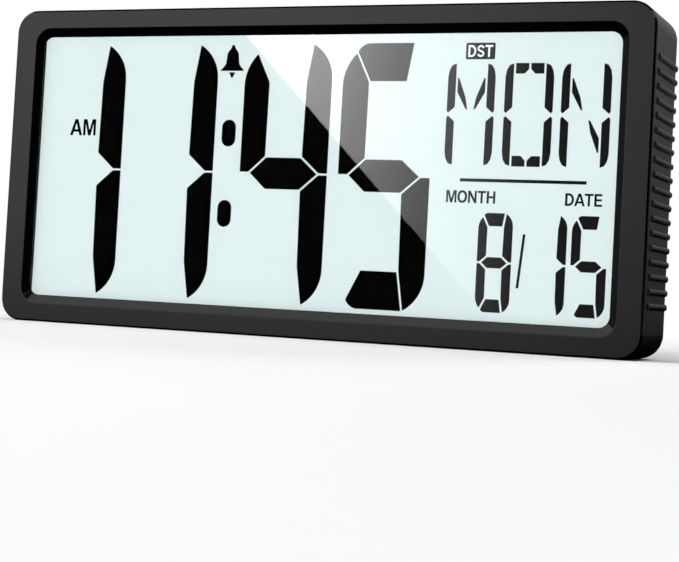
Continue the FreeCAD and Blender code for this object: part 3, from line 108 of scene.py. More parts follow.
def add(tree, kind, inputs=None, **settings):
    """Adds a node, sets it up, and fills each named input with a value or a link."""
    node = tree.nodes.new(kind)
    for name, value in settings.items():
        setattr(node, name, value)
    for name, value in (inputs or {}).items():
        if isinstance(value, bpy.types.NodeSocket):
            tree.links.new(value, node.inputs[name])
        else:
            node.inputs[name].default_value = value
    return node


def new_material(name):
    """An empty node material and its tree."""
    material = bpy.data.materials.new(name)
    material.use_nodes = True
    material.node_tree.nodes.clear()
    return material, material.node_tree


def finish_tree(tree, shader):
    """Sends a shader to the material's surface."""
    add(tree, "ShaderNodeOutputMaterial", {"Surface": shader})


WHITE = colour("#FFFFFF")
print("white is", WHITE)

# %% [markdown]
# ## Patterns
# No finish is one flat colour. Each pattern is noise that reads Object coordinates, which are
# metres here, so its scale is one over the size of its lumps. Most of the noise lies between
# 0.3 and 0.7, and that range is stretched to two colours or to two values of roughness.

# %% Patterns
PATTERN_LOW, PATTERN_HIGH = 0.3, 0.7


def noise(tree, size_mm, detail=2.0, stretch=(1.0, 1.0, 1.0)):
    """Noise whose lumps are about size_mm across, from Object coordinates."""
    place = add(tree, "ShaderNodeTexCoord").outputs["Object"]
    place = add(tree, "ShaderNodeMapping", {"Vector": place, "Scale": stretch}).outputs["Vector"]
    return add(tree, "ShaderNodeTexNoise",
               {"Vector": place, "Scale": 1 / (size_mm * MM), "Detail": detail}).outputs["Fac"]


def uneven_gloss(tree, pattern, smooth, rough):
    """A roughness that drifts between two values with a pattern."""
    return add(tree, "ShaderNodeMapRange", {
        "Value": pattern, "From Min": PATTERN_LOW, "From Max": PATTERN_HIGH,
        "To Min": smooth, "To Max": rough}).outputs["Result"]


def two_tone(tree, pattern, dark, light):
    """A colour that drifts between two hex colours with a pattern, or switches with a mask."""
    ramp = add(tree, "ShaderNodeValToRGB", {"Fac": pattern})
    low, high = ramp.color_ramp.elements
    low.position, high.position = PATTERN_LOW, PATTERN_HIGH
    low.color, high.color = colour(dark), colour(light)
    return ramp.outputs["Color"]


print("patterns run from", PATTERN_LOW, "to", PATTERN_HIGH)

# %% [markdown]
# ## A moulded plastic
# Nearly every piece of the clock is injection moulded. A mould is spark eroded or polished, and
# the plastic copies it: a fine grain that scatters the light, with a slight unevenness of gloss
# where the melt cooled. So one recipe takes a colour, a roughness, the grain in millimetres
# and how deep it is. A spark-eroded grain is really about 0.05 mm across. That is too fine
# to show, so it is drawn at 0.45 mm.

# %% Recipe for moulded plastic
PLASTIC_IOR = 1.53
TINT_PATCH_MM, GLOSS_PATCH_MM, GRAIN_MM = 26.0, 9.0, 0.45


def moulded(name, dark, light, rough=(0.42, 0.46), grain_mm=GRAIN_MM, depth_mm=0.006, rim=None):
    """Injection-moulded plastic with a fine grain. A rim is a normal that rounds the edges."""
    material, tree = new_material(name)
    bump = add(tree, "ShaderNodeBump", {
        "Height": noise(tree, grain_mm, detail=3.0), "Distance": depth_mm * MM, "Strength": 1.0})
    if rim:
        tree.links.new(rim(tree), bump.inputs["Normal"])
    skin = add(tree, "ShaderNodeBsdfPrincipled", {
        "Base Color": two_tone(tree, noise(tree, TINT_PATCH_MM), dark, light),
        "Roughness": uneven_gloss(tree, noise(tree, GLOSS_PATCH_MM), *rough),
        "IOR": PLASTIC_IOR, "Normal": bump.outputs["Normal"]})
    finish_tree(tree, skin.outputs["BSDF"])
    return material


def softened(radius_mm):
    """The normal of a surface whose sharp edges a mould maker broke to a small radius."""
    return lambda tree: add(tree, "ShaderNodeBevel", {"Radius": radius_mm * MM}, samples=6).outputs["Normal"]


# eroded, so a broad grey sheen and no sharp mirror image
abs_case = moulded("black ABS, spark-eroded", "#101011", "#131314", rough=(0.31, 0.36), rim=softened(0.2))
# smoother than the case, so the keys' rims catch tighter glints
abs_key = moulded("black ABS, smooth keys", "#18181A", "#1C1C1E", rough=(0.28, 0.34), rim=softened(0.3))
# the raw plastic: a plain and dull off-white
abs_white = moulded("natural ABS, display holder", "#DAD9D2", "#E1E0DA", rough=(0.45, 0.55))
print("moulded plastics:", abs_case.name, "/", abs_key.name, "/", abs_white.name)

# %% [markdown]
# The bezel's mould is both: the flat face is eroded matt, and the slopes on either side of it are
# polished, so the face glows softly between near-black bands. A surface counts as flat
# where its normal points nearly straight along Y. The step round the window has a larger edge radius
# than the outer edge, so the radius depends on which side of the face's middle line a point lies.

# %% Finish of the bezel
FLAT_FROM = 0.97                     # the least part along Y of a flat face's normal
FACE_CENTRE_Z_MM = 84.0
FACE_MIDDLE_MM = (168.5, 78.3)       # from the face's centre to its middle line, across and up
OUTER_RADIUS_MM, STEP_RADIUS_MM = 0.2, 0.7


def edge_radius(tree):
    """The bevel radius: one for the outer edge, another for the step round the window."""
    place = add(tree, "ShaderNodeTexCoord").outputs["Object"]
    centre = (0, 0, FACE_CENTRE_Z_MM * MM)
    offset = add(tree, "ShaderNodeVectorMath", {0: place, 1: centre}, operation="SUBTRACT")
    apart = add(tree, "ShaderNodeVectorMath", {0: offset.outputs["Vector"]}, operation="ABSOLUTE")
    x, _, z = add(tree, "ShaderNodeSeparateXYZ", {"Vector": apart.outputs["Vector"]}).outputs
    near = [add(tree, "ShaderNodeMath", {0: value, 1: middle * MM}, operation="LESS_THAN").outputs["Value"]
            for value, middle in zip((x, z), FACE_MIDDLE_MM)]
    inner = add(tree, "ShaderNodeMath", {0: near[0], 1: near[1]}, operation="MULTIPLY").outputs["Value"]
    return add(tree, "ShaderNodeMapRange", {
        "Value": inner, "To Min": OUTER_RADIUS_MM * MM, "To Max": STEP_RADIUS_MM * MM}).outputs["Result"]


def matt_and_polished(name, matt, polished, rough=(0.28, 0.32), rough_polished=0.12):
    """Black plastic from a mould whose flat faces are eroded matt and whose slopes are polished."""
    material, tree = new_material(name)
    normal = add(tree, "ShaderNodeNewGeometry").outputs["True Normal"]
    along_y = add(tree, "ShaderNodeSeparateXYZ", {"Vector": normal}).outputs["Y"]
    flat = add(tree, "ShaderNodeMath", {0: along_y}, operation="ABSOLUTE").outputs["Value"]
    slope = add(tree, "ShaderNodeMath", {0: flat, 1: FLAT_FROM}, operation="LESS_THAN").outputs["Value"]
    grain = add(tree, "ShaderNodeMapRange", {"Value": slope, "To Min": 1.0, "To Max": 0.05}).outputs["Result"]
    rounded = add(tree, "ShaderNodeBevel", {"Radius": edge_radius(tree)}, samples=6).outputs["Normal"]
    bump = add(tree, "ShaderNodeBump", {
        "Height": noise(tree, GRAIN_MM, detail=3.0), "Distance": 0.004 * MM,
        "Strength": grain, "Normal": rounded})
    gloss = add(tree, "ShaderNodeMapRange", {
        "Value": slope, "To Min": uneven_gloss(tree, noise(tree, GLOSS_PATCH_MM), *rough),
        "To Max": rough_polished})
    skin = add(tree, "ShaderNodeBsdfPrincipled", {
        "Base Color": two_tone(tree, slope, matt, polished), "Roughness": gloss.outputs["Result"],
        "IOR": PLASTIC_IOR, "Normal": bump.outputs["Normal"]})
    finish_tree(tree, skin.outputs["BSDF"])
    return material


# a soft grey glow on the face, and deep black on the slopes unless they mirror a card
abs_bezel = matt_and_polished("black ABS, matt with polished slopes", "#151516", "#040405")
print("bezel:", abs_bezel.name)

# %% [markdown]
# ## The display
# Room light passes the lens and the liquid crystal, is scattered by a pearly reflector behind
# the rear glass and comes back out. The eye sees a very pale cyan ground, flat black
# characters that float just in front of it, and the mirror image of whatever stands before the
# clear lens. The ground is a faintly mottled diffuse surface. Clear layers are a mix of
# Transparent and a sharp Principled reflection in the share that Fresnel's law gives.

# %% Display finishes
def clear_layer(name, ior, rough, gain=1.0):
    """A clear sheet whose front mirrors by Fresnel's law times a gain, and passes all other light."""
    material, tree = new_material(name)
    share = add(tree, "ShaderNodeFresnel", {"IOR": ior}).outputs["Fac"]
    inside = add(tree, "ShaderNodeNewGeometry").outputs["Backfacing"]
    front = add(tree, "ShaderNodeMath", {0: gain, 1: inside}, operation="SUBTRACT", use_clamp=True)
    share = add(tree, "ShaderNodeMath", {0: share, 1: front.outputs["Value"]}, operation="MULTIPLY")
    through = add(tree, "ShaderNodeBsdfTransparent", {"Color": WHITE})
    mirror = add(tree, "ShaderNodeBsdfPrincipled", {"Base Color": WHITE, "Metallic": 1.0, "Roughness": rough})
    mixed = add(tree, "ShaderNodeMixShader", {
        0: share.outputs["Value"], 1: through.outputs["BSDF"], 2: mirror.outputs["BSDF"]})
    finish_tree(tree, mixed.outputs["Shader"])
    return material


def flat_ground(name, dark, light, mottle_mm):
    """The pearly ground of a reflective display, or another even diffuse sheet."""
    material, tree = new_material(name)
    skin = add(tree, "ShaderNodeBsdfPrincipled", {
        "Base Color": two_tone(tree, noise(tree, mottle_mm), dark, light),
        "Roughness": 0.8, "Specular IOR Level": 0.0})
    finish_tree(tree, skin.outputs["BSDF"])
    return material


# the lens can't be seen itself: it shows only what it mirrors
acrylic = clear_layer("clear cast acrylic, polished", 1.49, 0.015)
# glued to its films without air between them, so it mirrors next to nothing
display_clear = clear_layer("display glass, bonded", 1.5, 0.02, gain=0.02)
# pale and even from every side, since pearl spreads the light; the bare film is greyer
ground = flat_ground("pearly cyan display ground", "#E2F1F1", "#E4F2F2", 9.0)
pearl = flat_ground("pearly reflector film", "#C9D3D2", "#D3DCDB", 4.0)
# switched on, the crystal stops the light, and letters left out of it stay pale
ink = flat_ground("switched liquid crystal, black", "#010101", "#020202", 6.0)
pale_mark = flat_ground("clear letters in a black field", "#F4FBFB", "#F8FDFD", 5.0)
print("display layers:", acrylic.name, "/", ground.name, "/", ink.name)

# %% [markdown]
# ## Metals, board and small parts
# The screws are zinc plated, the battery contacts nickel plated and the sounder disc rolled
# brass. A plated wire or stamped strip shows fine draw marks along its length, so the noise is
# stretched. Real marks are a few hundredths of a millimetre apart and are drawn coarser, to
# show. The board is glass-reinforced epoxy under green solder mask, whose gloss is broken
# by the weave. These pieces show when the battery door is open.

# %% Metals
MARKS_MM, MARKS_STRETCH = 0.8, (1.0, 1.0, 8.0)


def metal(name, dark, light, rough):
    """A plated or rolled metal with faint marks along one direction."""
    material, tree = new_material(name)
    marks = noise(tree, MARKS_MM, detail=3.0, stretch=MARKS_STRETCH)
    bump = add(tree, "ShaderNodeBump", {"Height": marks, "Distance": 0.004 * MM, "Strength": 0.6})
    skin = add(tree, "ShaderNodeBsdfPrincipled", {
        "Base Color": two_tone(tree, marks, dark, light), "Metallic": 1.0,
        "Roughness": uneven_gloss(tree, marks, *rough), "Normal": bump.outputs["Normal"]})
    finish_tree(tree, skin.outputs["BSDF"])
    return material


# zinc is a dull blue-grey, nickel brighter and warmer, and rolled brass a soft yellow
zinc = metal("zinc-plated steel", "#B4B8BA", "#CBCFD1", (0.28, 0.38))
nickel = metal("nickel-plated spring steel", "#C3BFB6", "#D6D2CA", (0.20, 0.30))
brass = metal("rolled brass", "#B98F3F", "#CCA455", (0.25, 0.36))
print("metals:", zinc.name, "/", nickel.name, "/", brass.name)

# %% Board, rubber, foam and leads
# a glossy green skin that dips between the threads of the glass cloth
solder_mask = moulded("green solder mask on glass epoxy", "#17512C", "#1C5E34", rough=(0.25, 0.35),
                      grain_mm=0.9)
# a poured drop that set smooth: the glossiest black inside
resin = moulded("black potting resin", "#0B0B0C", "#0F0F10", rough=(0.15, 0.22), grain_mm=2.0)
# grey and powdery
rubber = moulded("conductive and silicone rubber", "#77828A", "#8B949B", rough=(0.6, 0.7), grain_mm=0.5)
# dead matt, with the dimples of its cells
foam = moulded("closed-cell polyethylene foam", "#2E2E30", "#38383A", rough=(0.85, 0.95), grain_mm=0.6,
               depth_mm=0.12)
# a shrunk film with a satin gloss
jacket = moulded("plain shrink jacket of a cell", "#5B6168", "#646A71", rough=(0.28, 0.34), grain_mm=1.5)
# extruded, so dull and even all round
DULL = (0.35, 0.45)
vinyl_red = moulded("red PVC insulation", "#9F1B19", "#AD2320", rough=DULL)
vinyl_black = moulded("black PVC insulation", "#141415", "#19191A", rough=DULL)
vinyl_grey = moulded("grey PVC insulation", "#8B8E90", "#979A9C", rough=DULL)
print("small parts:", solder_mask.name, "/", foam.name, "/", jacket.name)

# %% [markdown]
# ## Dressing the nodes
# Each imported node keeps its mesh. Only its material slots change. The table goes from the
# record's slot names to the finishes above.

# %% Put the finishes on the nodes
FINISHES = {
    "case_black": abs_case, "bezel_black": abs_bezel, "key_black": abs_key,
    "clear_acrylic": acrylic, "display_glass": display_clear, "film": display_clear,
    "display_ground": ground, "reflector": pearl, "display_ink": ink, "foam": foam,
    "holder_white": abs_white, "elastomer": rubber, "board_green": solder_mask,
    "resin_black": resin, "steel": zinc, "contact_nickel": nickel, "brass_disc": brass,
    "cell_jacket": jacket, "lead_red": vinyl_red, "lead_black": vinyl_black, "lead_grey": vinyl_grey,
}
slots = [slot for node in nodes.values() for slot in node.material_slots]
for slot in slots:
    slot.material = FINISHES[slot.material.name]
print("dressed", len(nodes), "nodes in", len({slot.material.name for slot in slots}), "finishes")

# %% [markdown]
# ## Making new pieces
# New pieces are bmeshes. A flat outline becomes a plate when its face is extruded. Every
# finished piece has its place in its mesh, and its object stays at the origin.

# %% Plates and pieces
def keep(shape, name, material, body):
    """Turns a bmesh into a finished piece that rides on a body."""
    bmesh.ops.remove_doubles(shape, verts=shape.verts, dist=1e-7)
    bmesh.ops.recalc_face_normals(shape, faces=shape.faces)
    mesh = bpy.data.meshes.new(name)
    shape.to_mesh(mesh)
    shape.free()
    piece = bpy.data.objects.new(name, mesh)
    mesh.materials.append(material)
    bpy.context.scene.collection.objects.link(piece)
    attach(piece, body)
    return piece


def thickened(shape, faces, thick, **how):
    """Extrudes flat faces of a bmesh along +Y."""
    grown = bmesh.ops.extrude_face_region(shape, geom=faces, **how)
    moved = [part for part in grown["geom"] if isinstance(part, bmesh.types.BMVert)]
    bmesh.ops.translate(shape, verts=moved, vec=(0, thick, 0))
    return shape


def plate(outline, thick):
    """A bmesh plate: an outline in the X-Z plane, with its thickness along +Y."""
    shape = bmesh.new()
    face = shape.faces.new([shape.verts.new((x, 0, z)) for x, z in outline])
    return thickened(shape, [face], thick)


def filled(loops, thick):
    """A bmesh plate from closed loops in the X-Z plane: outlines, with the holes inside them."""
    shape = bmesh.new()
    for loop in loops:
        ring = [shape.verts.new((x, 0, z)) for x, z in loop]
        for first, second in zip(ring, ring[1:] + ring[:1]):
            shape.edges.new((first, second))
    flat = bmesh.ops.triangle_fill(shape, use_beauty=True, use_dissolve=False, edges=shape.edges[:],
                                   normal=(0, -1, 0))
    faces = [part for part in flat["geom"] if isinstance(part, bmesh.types.BMFace)]
    return thickened(shape, faces, thick, use_keep_orig=True)


def arc(x, z, radius, start, end, steps):
    """Points of an arc, its angles in degrees from +X towards +Z."""
    turns = [radians(start + (end - start) * i / steps) for i in range(steps + 1)]
    return [(x + radius * cos(a), z + radius * sin(a)) for a in turns]


print("a quarter circle:", len(arc(0, 0, 1, 0, 90, 4)), "points")

# %% [markdown]
# ## The fixed symbols of the display
# Besides its characters, the liquid crystal has shapes that are only ever on or off: AM, a bell
# for a set alarm, DST for summer time and the two headings. They lie in the same thin layer as
# the characters, so they are plates as thick as that layer. Their places are measured from
# the upper left corner of the window, to the right and down.

# %% Place on the display
INK_BACK_MM, INK_THICK_MM = -18.4, 0.1
WINDOW_LEFT_MM, WINDOW_UPPER_MM = -158.7, 153.7


def on_display(shape, across, down, proud=0.0):
    """Moves a shape made round the origin to its place on the display, in millimetres."""
    bmesh.ops.scale(shape, verts=shape.verts, vec=(MM, MM, MM))
    x, z = WINDOW_LEFT_MM + across, WINDOW_UPPER_MM - down
    y = INK_BACK_MM - INK_THICK_MM / 2 - proud
    bmesh.ops.translate(shape, verts=shape.verts, vec=(x * MM, y * MM, z * MM))
    return shape


print("window corner at x", WINDOW_LEFT_MM, "and z", WINDOW_UPPER_MM, "mm")

# %% [markdown]
# The words are drawn in heavy plain capitals. Each letter is one or two closed loops in units
# of its height, with a stem of 0.18 and a bar of 0.17. Round letters are two ovals, the D has two
# half circles, and the S is a stroke that follows a path of two bowls.

# %% Outlines of heavy capitals
STEM, BAR = 0.18, 0.17
ROUND_STEPS, SQUARISH = 28, 0.88     # a power under 1 fills an oval's corners


def oval(wide, low, high):
    """Points of a squarish oval between two heights, its left side at x = 0."""
    points = []
    for i in range(ROUND_STEPS):
        a = 2 * pi * i / ROUND_STEPS
        bulge = [abs(v) ** SQUARISH * (1 if v > 0 else -1) for v in (cos(a), sin(a))]
        points.append((wide / 2 * (1 + bulge[0]), (low + high) / 2 + (high - low) / 2 * bulge[1]))
    return points


def bent_stroke(path, thick):
    """The outline of a stroke that follows a path."""
    left, right = [], []
    for before, here, after in zip(path[:1] + path, path, path[1:] + path[-1:]):
        along = Vector(after) - Vector(before)
        side = Vector((-along.y, along.x)).normalized() * thick / 2
        left.append(tuple(Vector(here) + side))
        right.append(tuple(Vector(here) - side))
    return left + right[::-1]


def shifted(loop, across):
    """A loop moved to the right."""
    return [(x + across, z) for x, z in loop]


S_MIDDLE, S_WIDER = 0.33, 1.15
S_PATH = [(S_MIDDLE + S_WIDER * x, z) for x, z in arc(0, 0.72, 0.2, 10, 250, 9)]
S_PATH += [(2 * S_MIDDLE - x, 1 - z) for x, z in reversed(S_PATH)]
half_circle = arc(0, 0, 0.5, -90, 90, 12)
D_OUTER = [(0.30 + 0.80 * x, 0.5 + z) for x, z in half_circle]
D_INNER = [(0.28 + 0.484 * x, 0.5 + (1 - 2 * BAR) * z) for x, z in half_circle]
print("bowls of the S:", len(S_PATH), "points")

# %% Heavy capitals
CAPITALS = {     # the width of each letter, and its loops
    "A": (0.84, [[(0, 0), (0.18, 0), (0.25, 0.22), (0.59, 0.22), (0.66, 0), (0.84, 0), (0.52, 1), (0.32, 1)],
                 [(0.30, 0.37), (0.54, 0.37), (0.42, 0.77)]]),
    "D": (0.70, [[(0, 0)] + D_OUTER + [(0, 1)], [(STEM, BAR)] + D_INNER + [(STEM, 1 - BAR)]]),
    "E": (0.62, [[(0, 0), (0.62, 0), (0.62, BAR), (STEM, BAR), (STEM, 0.43), (0.58, 0.43), (0.58, 0.59),
                  (STEM, 0.59), (STEM, 1 - BAR), (0.60, 1 - BAR), (0.60, 1), (0, 1)]]),
    "H": (0.70, [[(0, 0), (STEM, 0), (STEM, 0.43), (0.53, 0.43), (0.53, 0), (0.70, 0), (0.70, 1), (0.53, 1),
                  (0.53, 0.59), (STEM, 0.59), (STEM, 1), (0, 1)]]),
    "M": (0.86, [[(0, 0), (0.155, 0), (0.155, 0.77), (0.345, 0), (0.515, 0), (0.705, 0.77), (0.705, 0),
                  (0.86, 0), (0.86, 1), (0.62, 1), (0.43, 0.32), (0.24, 1), (0, 1)]]),
    "N": (0.70, [[(0, 0), (0.16, 0), (0.16, 0.66), (0.53, 0), (0.70, 0), (0.70, 1), (0.54, 1), (0.54, 0.34),
                  (STEM, 1), (0, 1)]]),
    "O": (0.80, [oval(0.80, -0.01, 1.01), shifted(oval(0.80 - 2 * STEM, BAR, 1 - BAR), STEM)]),
    "S": (0.66, [bent_stroke(S_PATH, 0.165)]),
    "T": (0.68, [[(0.255, 0), (0.425, 0), (0.425, 1 - BAR), (0.68, 1 - BAR), (0.68, 1), (0, 1), (0, 1 - BAR),
                  (0.255, 1 - BAR)]]),
}
LETTER_GAP = {"MO": 0.08, "ON": 0.09, "NT": 0.08, "TH": 0.08, "DA": 0.02, "AT": -0.03, "TE": 0.08,
              "AM": 0.07, "DS": 0.07, "ST": 0.05}


def heavy_word(text, wide, high, thick):
    """A bmesh of one line of heavy capitals, wide by high, centred on the origin."""
    word, across = bmesh.new(), 0.0
    for letter, after in zip(text, text[1:] + " "):
        width, loops = CAPITALS[letter]
        shape = filled([shifted(loop, across) for loop in loops], thick)
        mesh = bpy.data.meshes.new("letter")
        shape.to_mesh(mesh)
        shape.free()
        word.from_mesh(mesh)
        bpy.data.meshes.remove(mesh)
        across += width + LETTER_GAP.get(letter + after, 0.0)
    bmesh.ops.translate(word, verts=word.verts, vec=(-across / 2, -thick / 2, -0.5))
    bmesh.ops.scale(word, verts=word.verts, vec=(wide / across, 1, high))
    return word


SYMBOL_WORDS = {     # the word, its centre from the window's upper left corner, and its size
    "am": ("AM", (24.8, 48.2), (15.8, 8.75)),
    "month": ("MONTH", (245.3, 79.55), (25.0, 6.0)),
    "date": ("DATE", (301.4, 79.5), (17.95, 6.0)),
}
for name, (text, (across, down), (wide, high)) in SYMBOL_WORDS.items():
    shape = on_display(heavy_word(text, wide, high, INK_THICK_MM), across, down)
    keep(shape, "display_word_" + name, ink, "case")
print("symbols:", sorted(SYMBOL_WORDS))

# %% [markdown]
# The bell is drawn as half an outline and mirrored: a small knob, a domed body, a flared rim, and
# a separate clapper below.

# %% Bell
BELL_AT = (112.3, 17.8)
BELL_HALF = [(0, 13.6), (0.3, 13.5), (1.0, 12.8), (1.15, 11.75), (1.75, 11.1), (2.6, 10.2), (3.2, 8.9),
             (3.45, 7.0), (3.75, 3.8), (4.6, 2.5), (6.65, 0.3), (6.65, 0)]
BELL = BELL_HALF + [(-x, z) for x, z in reversed(BELL_HALF[1:])]
CLAPPER = [(-1.75, -0.8), (1.75, -0.8), (1.3, -1.7), (0.15, -3.8), (-0.15, -3.8), (-1.3, -1.7)]
for outline, name in ((BELL, "display_bell"), (CLAPPER, "display_bell_clapper")):
    shape = filled([outline], INK_THICK_MM)
    bmesh.ops.translate(shape, verts=shape.verts, vec=(0, -INK_THICK_MM / 2, 0))
    keep(on_display(shape, *BELL_AT), name, ink, "case")
print("bell of", len(BELL), "corners")

# %% [markdown]
# The summer-time mark is the reverse of the other words: a black field with rounded corners
# whose letters stay clear, drawn as a pale skin on the field.

# %% Summer-time mark
SUMMER_AT = (246.6, 8.25)
FIELD_WIDE, FIELD_HIGH, FIELD_ROUND = 14.9, 8.1, 0.8
LETTERS_WIDE, LETTERS_HIGH, LETTER_SKIN_MM = 12.6, 5.9, 0.02

half_wide, half_high = FIELD_WIDE / 2 - FIELD_ROUND, FIELD_HIGH / 2 - FIELD_ROUND
field_outline = []
for corner, (side, level) in enumerate(((1, 1), (-1, 1), (-1, -1), (1, -1))):
    field_outline += arc(side * half_wide, level * half_high, FIELD_ROUND, 90 * corner, 90 * corner + 90, 4)
field = plate(field_outline, INK_THICK_MM)
bmesh.ops.translate(field, verts=field.verts, vec=(0, -INK_THICK_MM / 2, 0))
keep(on_display(field, *SUMMER_AT), "display_summer_field", ink, "case")
letters = heavy_word("DST", LETTERS_WIDE, LETTERS_HIGH, LETTER_SKIN_MM)
on_display(letters, *SUMMER_AT, proud=INK_THICK_MM / 2 + LETTER_SKIN_MM / 2)
summer_letters = keep(letters, "display_summer_letters", pale_mark, "case")
print("summer-time field", FIELD_WIDE, "x", FIELD_HIGH, "mm")

# %% [markdown]
# The characters lie on the back of the front glass. Two surfaces in one plane flicker, because
# a ray that has just left one may skip the other. So the front glass is drawn a twentieth of
# a millimetre thinner, and its back stands clear of the characters. Glass is scored, snapped and
# ground, so a grinder's small flat breaks every edge.

# %% Front glass of the display
PANE_GAP_MM, GROUND_EDGE_MM = 0.05, 0.15
pane_low, pane_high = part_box("lcd_front_glass")
pane_size = pane_high - pane_low - Vector((0, PANE_GAP_MM * MM, 0))
pane = bmesh.new()
bmesh.ops.create_cube(pane, size=1.0)
bmesh.ops.scale(pane, verts=pane.verts, vec=pane_size)
bmesh.ops.translate(pane, verts=pane.verts, vec=pane_low + pane_size / 2)
bmesh.ops.bevel(pane, geom=pane.edges[:], offset=GROUND_EDGE_MM * MM, affect="EDGES", segments=1,
                profile=0.5, material=-1)
pane = keep(pane, "display_front_pane", display_clear, "case")
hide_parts("lcd_front_glass")
print("front pane", round(pane_size.y / MM, 3), "mm thick")

# %% [markdown]
# ## The back
# The words beside the keys are pad printed on the floor of their recess in pale grey ink, and
# read from behind. So each line is turned half round the upright axis. A print is a few
# hundredths of a millimetre thick. Plain thin letters are Blender's own font made a mesh, which
# is then scaled to its size and stood upright.

# %% Printed words
# pressed on by a pad: flat, with no gloss of its own
print_ink = flat_ground("pale grey pad-printing ink", "#C4C6C7", "#CDCFD0", 3.0)
WORD_HIGH_MM, WORD_THICK_MM = 2.2, 0.04
LETTER_WIDE_MM, WORD_MOST_MM = 1.55, 10.0
RECESS_FLOOR_MM, WORD_Z_MM = 23.4, 119.2
KEY_WORDS = {"set": ("SET", -143), "mode": ("MODE", -128), "up": ("UP", -113), "down": ("DOWN", -98),
             "alarm": ("ALARM", -83), "snooze": ("SNOOZE", -68), "slider": ("OFF   ON", -50.5)}


def lettering(text, wide, high, thick):
    """A bmesh of one line of plain thin letters, centred on the origin in the X-Z plane."""
    curve = bpy.data.curves.new(text, "FONT")
    curve.body = text
    curve.resolution_u = 4
    curve.extrude = 0.5
    line = bpy.data.objects.new(text, curve)
    mesh = bpy.data.meshes.new_from_object(line)
    shape = bmesh.new()
    shape.from_mesh(mesh)
    bpy.data.objects.remove(line)
    bpy.data.curves.remove(curve)
    bpy.data.meshes.remove(mesh)
    low = Vector([min(v.co[i] for v in shape.verts) for i in (0, 1, 2)])
    size = Vector([max(v.co[i] for v in shape.verts) for i in (0, 1, 2)]) - low
    bmesh.ops.translate(shape, verts=shape.verts, vec=-low - size / 2)
    bmesh.ops.scale(shape, verts=shape.verts, vec=(wide / size.x, high / size.y, thick / size.z))
    bmesh.ops.rotate(shape, verts=shape.verts, cent=(0, 0, 0), matrix=Matrix.Rotation(pi / 2, 3, "X"))
    return shape


for name, (text, x) in KEY_WORDS.items():
    word = lettering(text, min(LETTER_WIDE_MM * len(text), WORD_MOST_MM), WORD_HIGH_MM, WORD_THICK_MM)
    bmesh.ops.rotate(word, verts=word.verts, cent=(0, 0, 0), matrix=Matrix.Rotation(pi, 3, "Z"))
    bmesh.ops.scale(word, verts=word.verts, vec=(MM, MM, MM))
    place = Vector((x, RECESS_FLOOR_MM + WORD_THICK_MM / 2, WORD_Z_MM)) * MM
    bmesh.ops.translate(word, verts=word.verts, vec=place)
    keep(word, "print_" + name, print_ink, "case")
print("printed words:", len(KEY_WORDS))

# %% [markdown]
# A dry cell is a drawn can in a printed jacket. The can is turned: its profile runs from the
# flat bottom over a rounded shoulder to the raised cap, and spins about the cell's own axis. The
# jacket is a second turned piece whose ends curl over the shoulders, and its dark band a third.
# The cells of the lower row point right and those of the upper row left, since they are in series.

# %% Battery cells
# the same satin film as the jacket, printed nearly black
jacket_dark = moulded("dark band of a cell's jacket", "#24272B", "#2A2D31", rough=(0.26, 0.32), grain_mm=1.5)
CAN_PROFILE = [(0, 0), (0, 9.6), (0.35, 10.2), (0.35, 11.4), (0.9, 12.3), (1.6, 12.7), (46.6, 12.7),
               (47.4, 12.2), (47.9, 11.2), (48.1, 10.0), (48.3, 4.2), (48.6, 2.9), (49.7, 2.8),
               (50, 2.4), (50, 0)]
JACKET_PROFILE = [(0.5, 11.3), (0.6, 12.1), (1.0, 12.7), (1.7, 12.96), (46.4, 12.96), (47.2, 12.7),
                  (47.7, 12.0), (47.8, 11.2)]
BAND_PROFILE = [(34.0, 12.94), (34.0, 12.98), (46.0, 12.98), (46.0, 12.94)]
LOWER_ROW, UPPER_ROW = (1, 2), (3, 4)
SPIN_STEPS, END_FACING = 64, 0.9     # the least part along X of an end face's normal


def turned(profile, low, high, points_right):
    """Spins a profile, in millimetres along and out, about the long axis of a box."""
    shape = bmesh.new()
    points = [shape.verts.new((along * MM, 0, out * MM)) for along, out in profile]
    edges = [shape.edges.new(pair) for pair in zip(points, points[1:])]
    bmesh.ops.spin(shape, geom=points + edges, cent=(0, 0, 0), axis=(1, 0, 0), dvec=(0, 0, 0), angle=2 * pi,
                   steps=SPIN_STEPS, use_merge=True, use_duplicate=False)
    if not points_right:
        bmesh.ops.rotate(shape, verts=shape.verts, cent=(0, 0, 0), matrix=Matrix.Rotation(pi, 3, "Z"))
        bmesh.ops.translate(shape, verts=shape.verts, vec=(high.x - low.x, 0, 0))
    centre = (low + high) / 2
    bmesh.ops.translate(shape, verts=shape.verts, vec=(low.x, centre.y, centre.z))
    return shape


for number in LOWER_ROW + UPPER_ROW:
    low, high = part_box(f"battery_cell_{number}")
    can, film, band = [turned(profile, low, high, number in LOWER_ROW)
                       for profile in (CAN_PROFILE, JACKET_PROFILE, BAND_PROFILE)]
    can = keep(can, f"cell_can_{number}", nickel, "case")
    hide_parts(f"battery_cell_{number}")
    film = keep(film, f"cell_jacket_{number}", jacket, "case")
    band = keep(band, f"cell_band_{number}", jacket_dark, "case")
    for piece in (can, film, band):  # the round walls are shaded smooth, and the flat ends aren't
        for face in piece.data.polygons:
            face.use_smooth = len(face.vertices) == 4 and abs(face.normal.x) < END_FACING
print("cells:", number, "each", round((high.x - low.x) / MM, 1), "mm long")

# %% [markdown]
# ## Floor and backdrop
# The clock stands on a plain white table in front of white paper. The table is an ordinary
# diffuse surface, so it keeps the clock's shadow. It throws less light up at the clock than it
# shows, as grey paper would. Further out it turns to an even white for the camera, so that no
# horizon shows. The world is white to the camera, and to mirror and glass
# rays, and gives a plain even light otherwise.

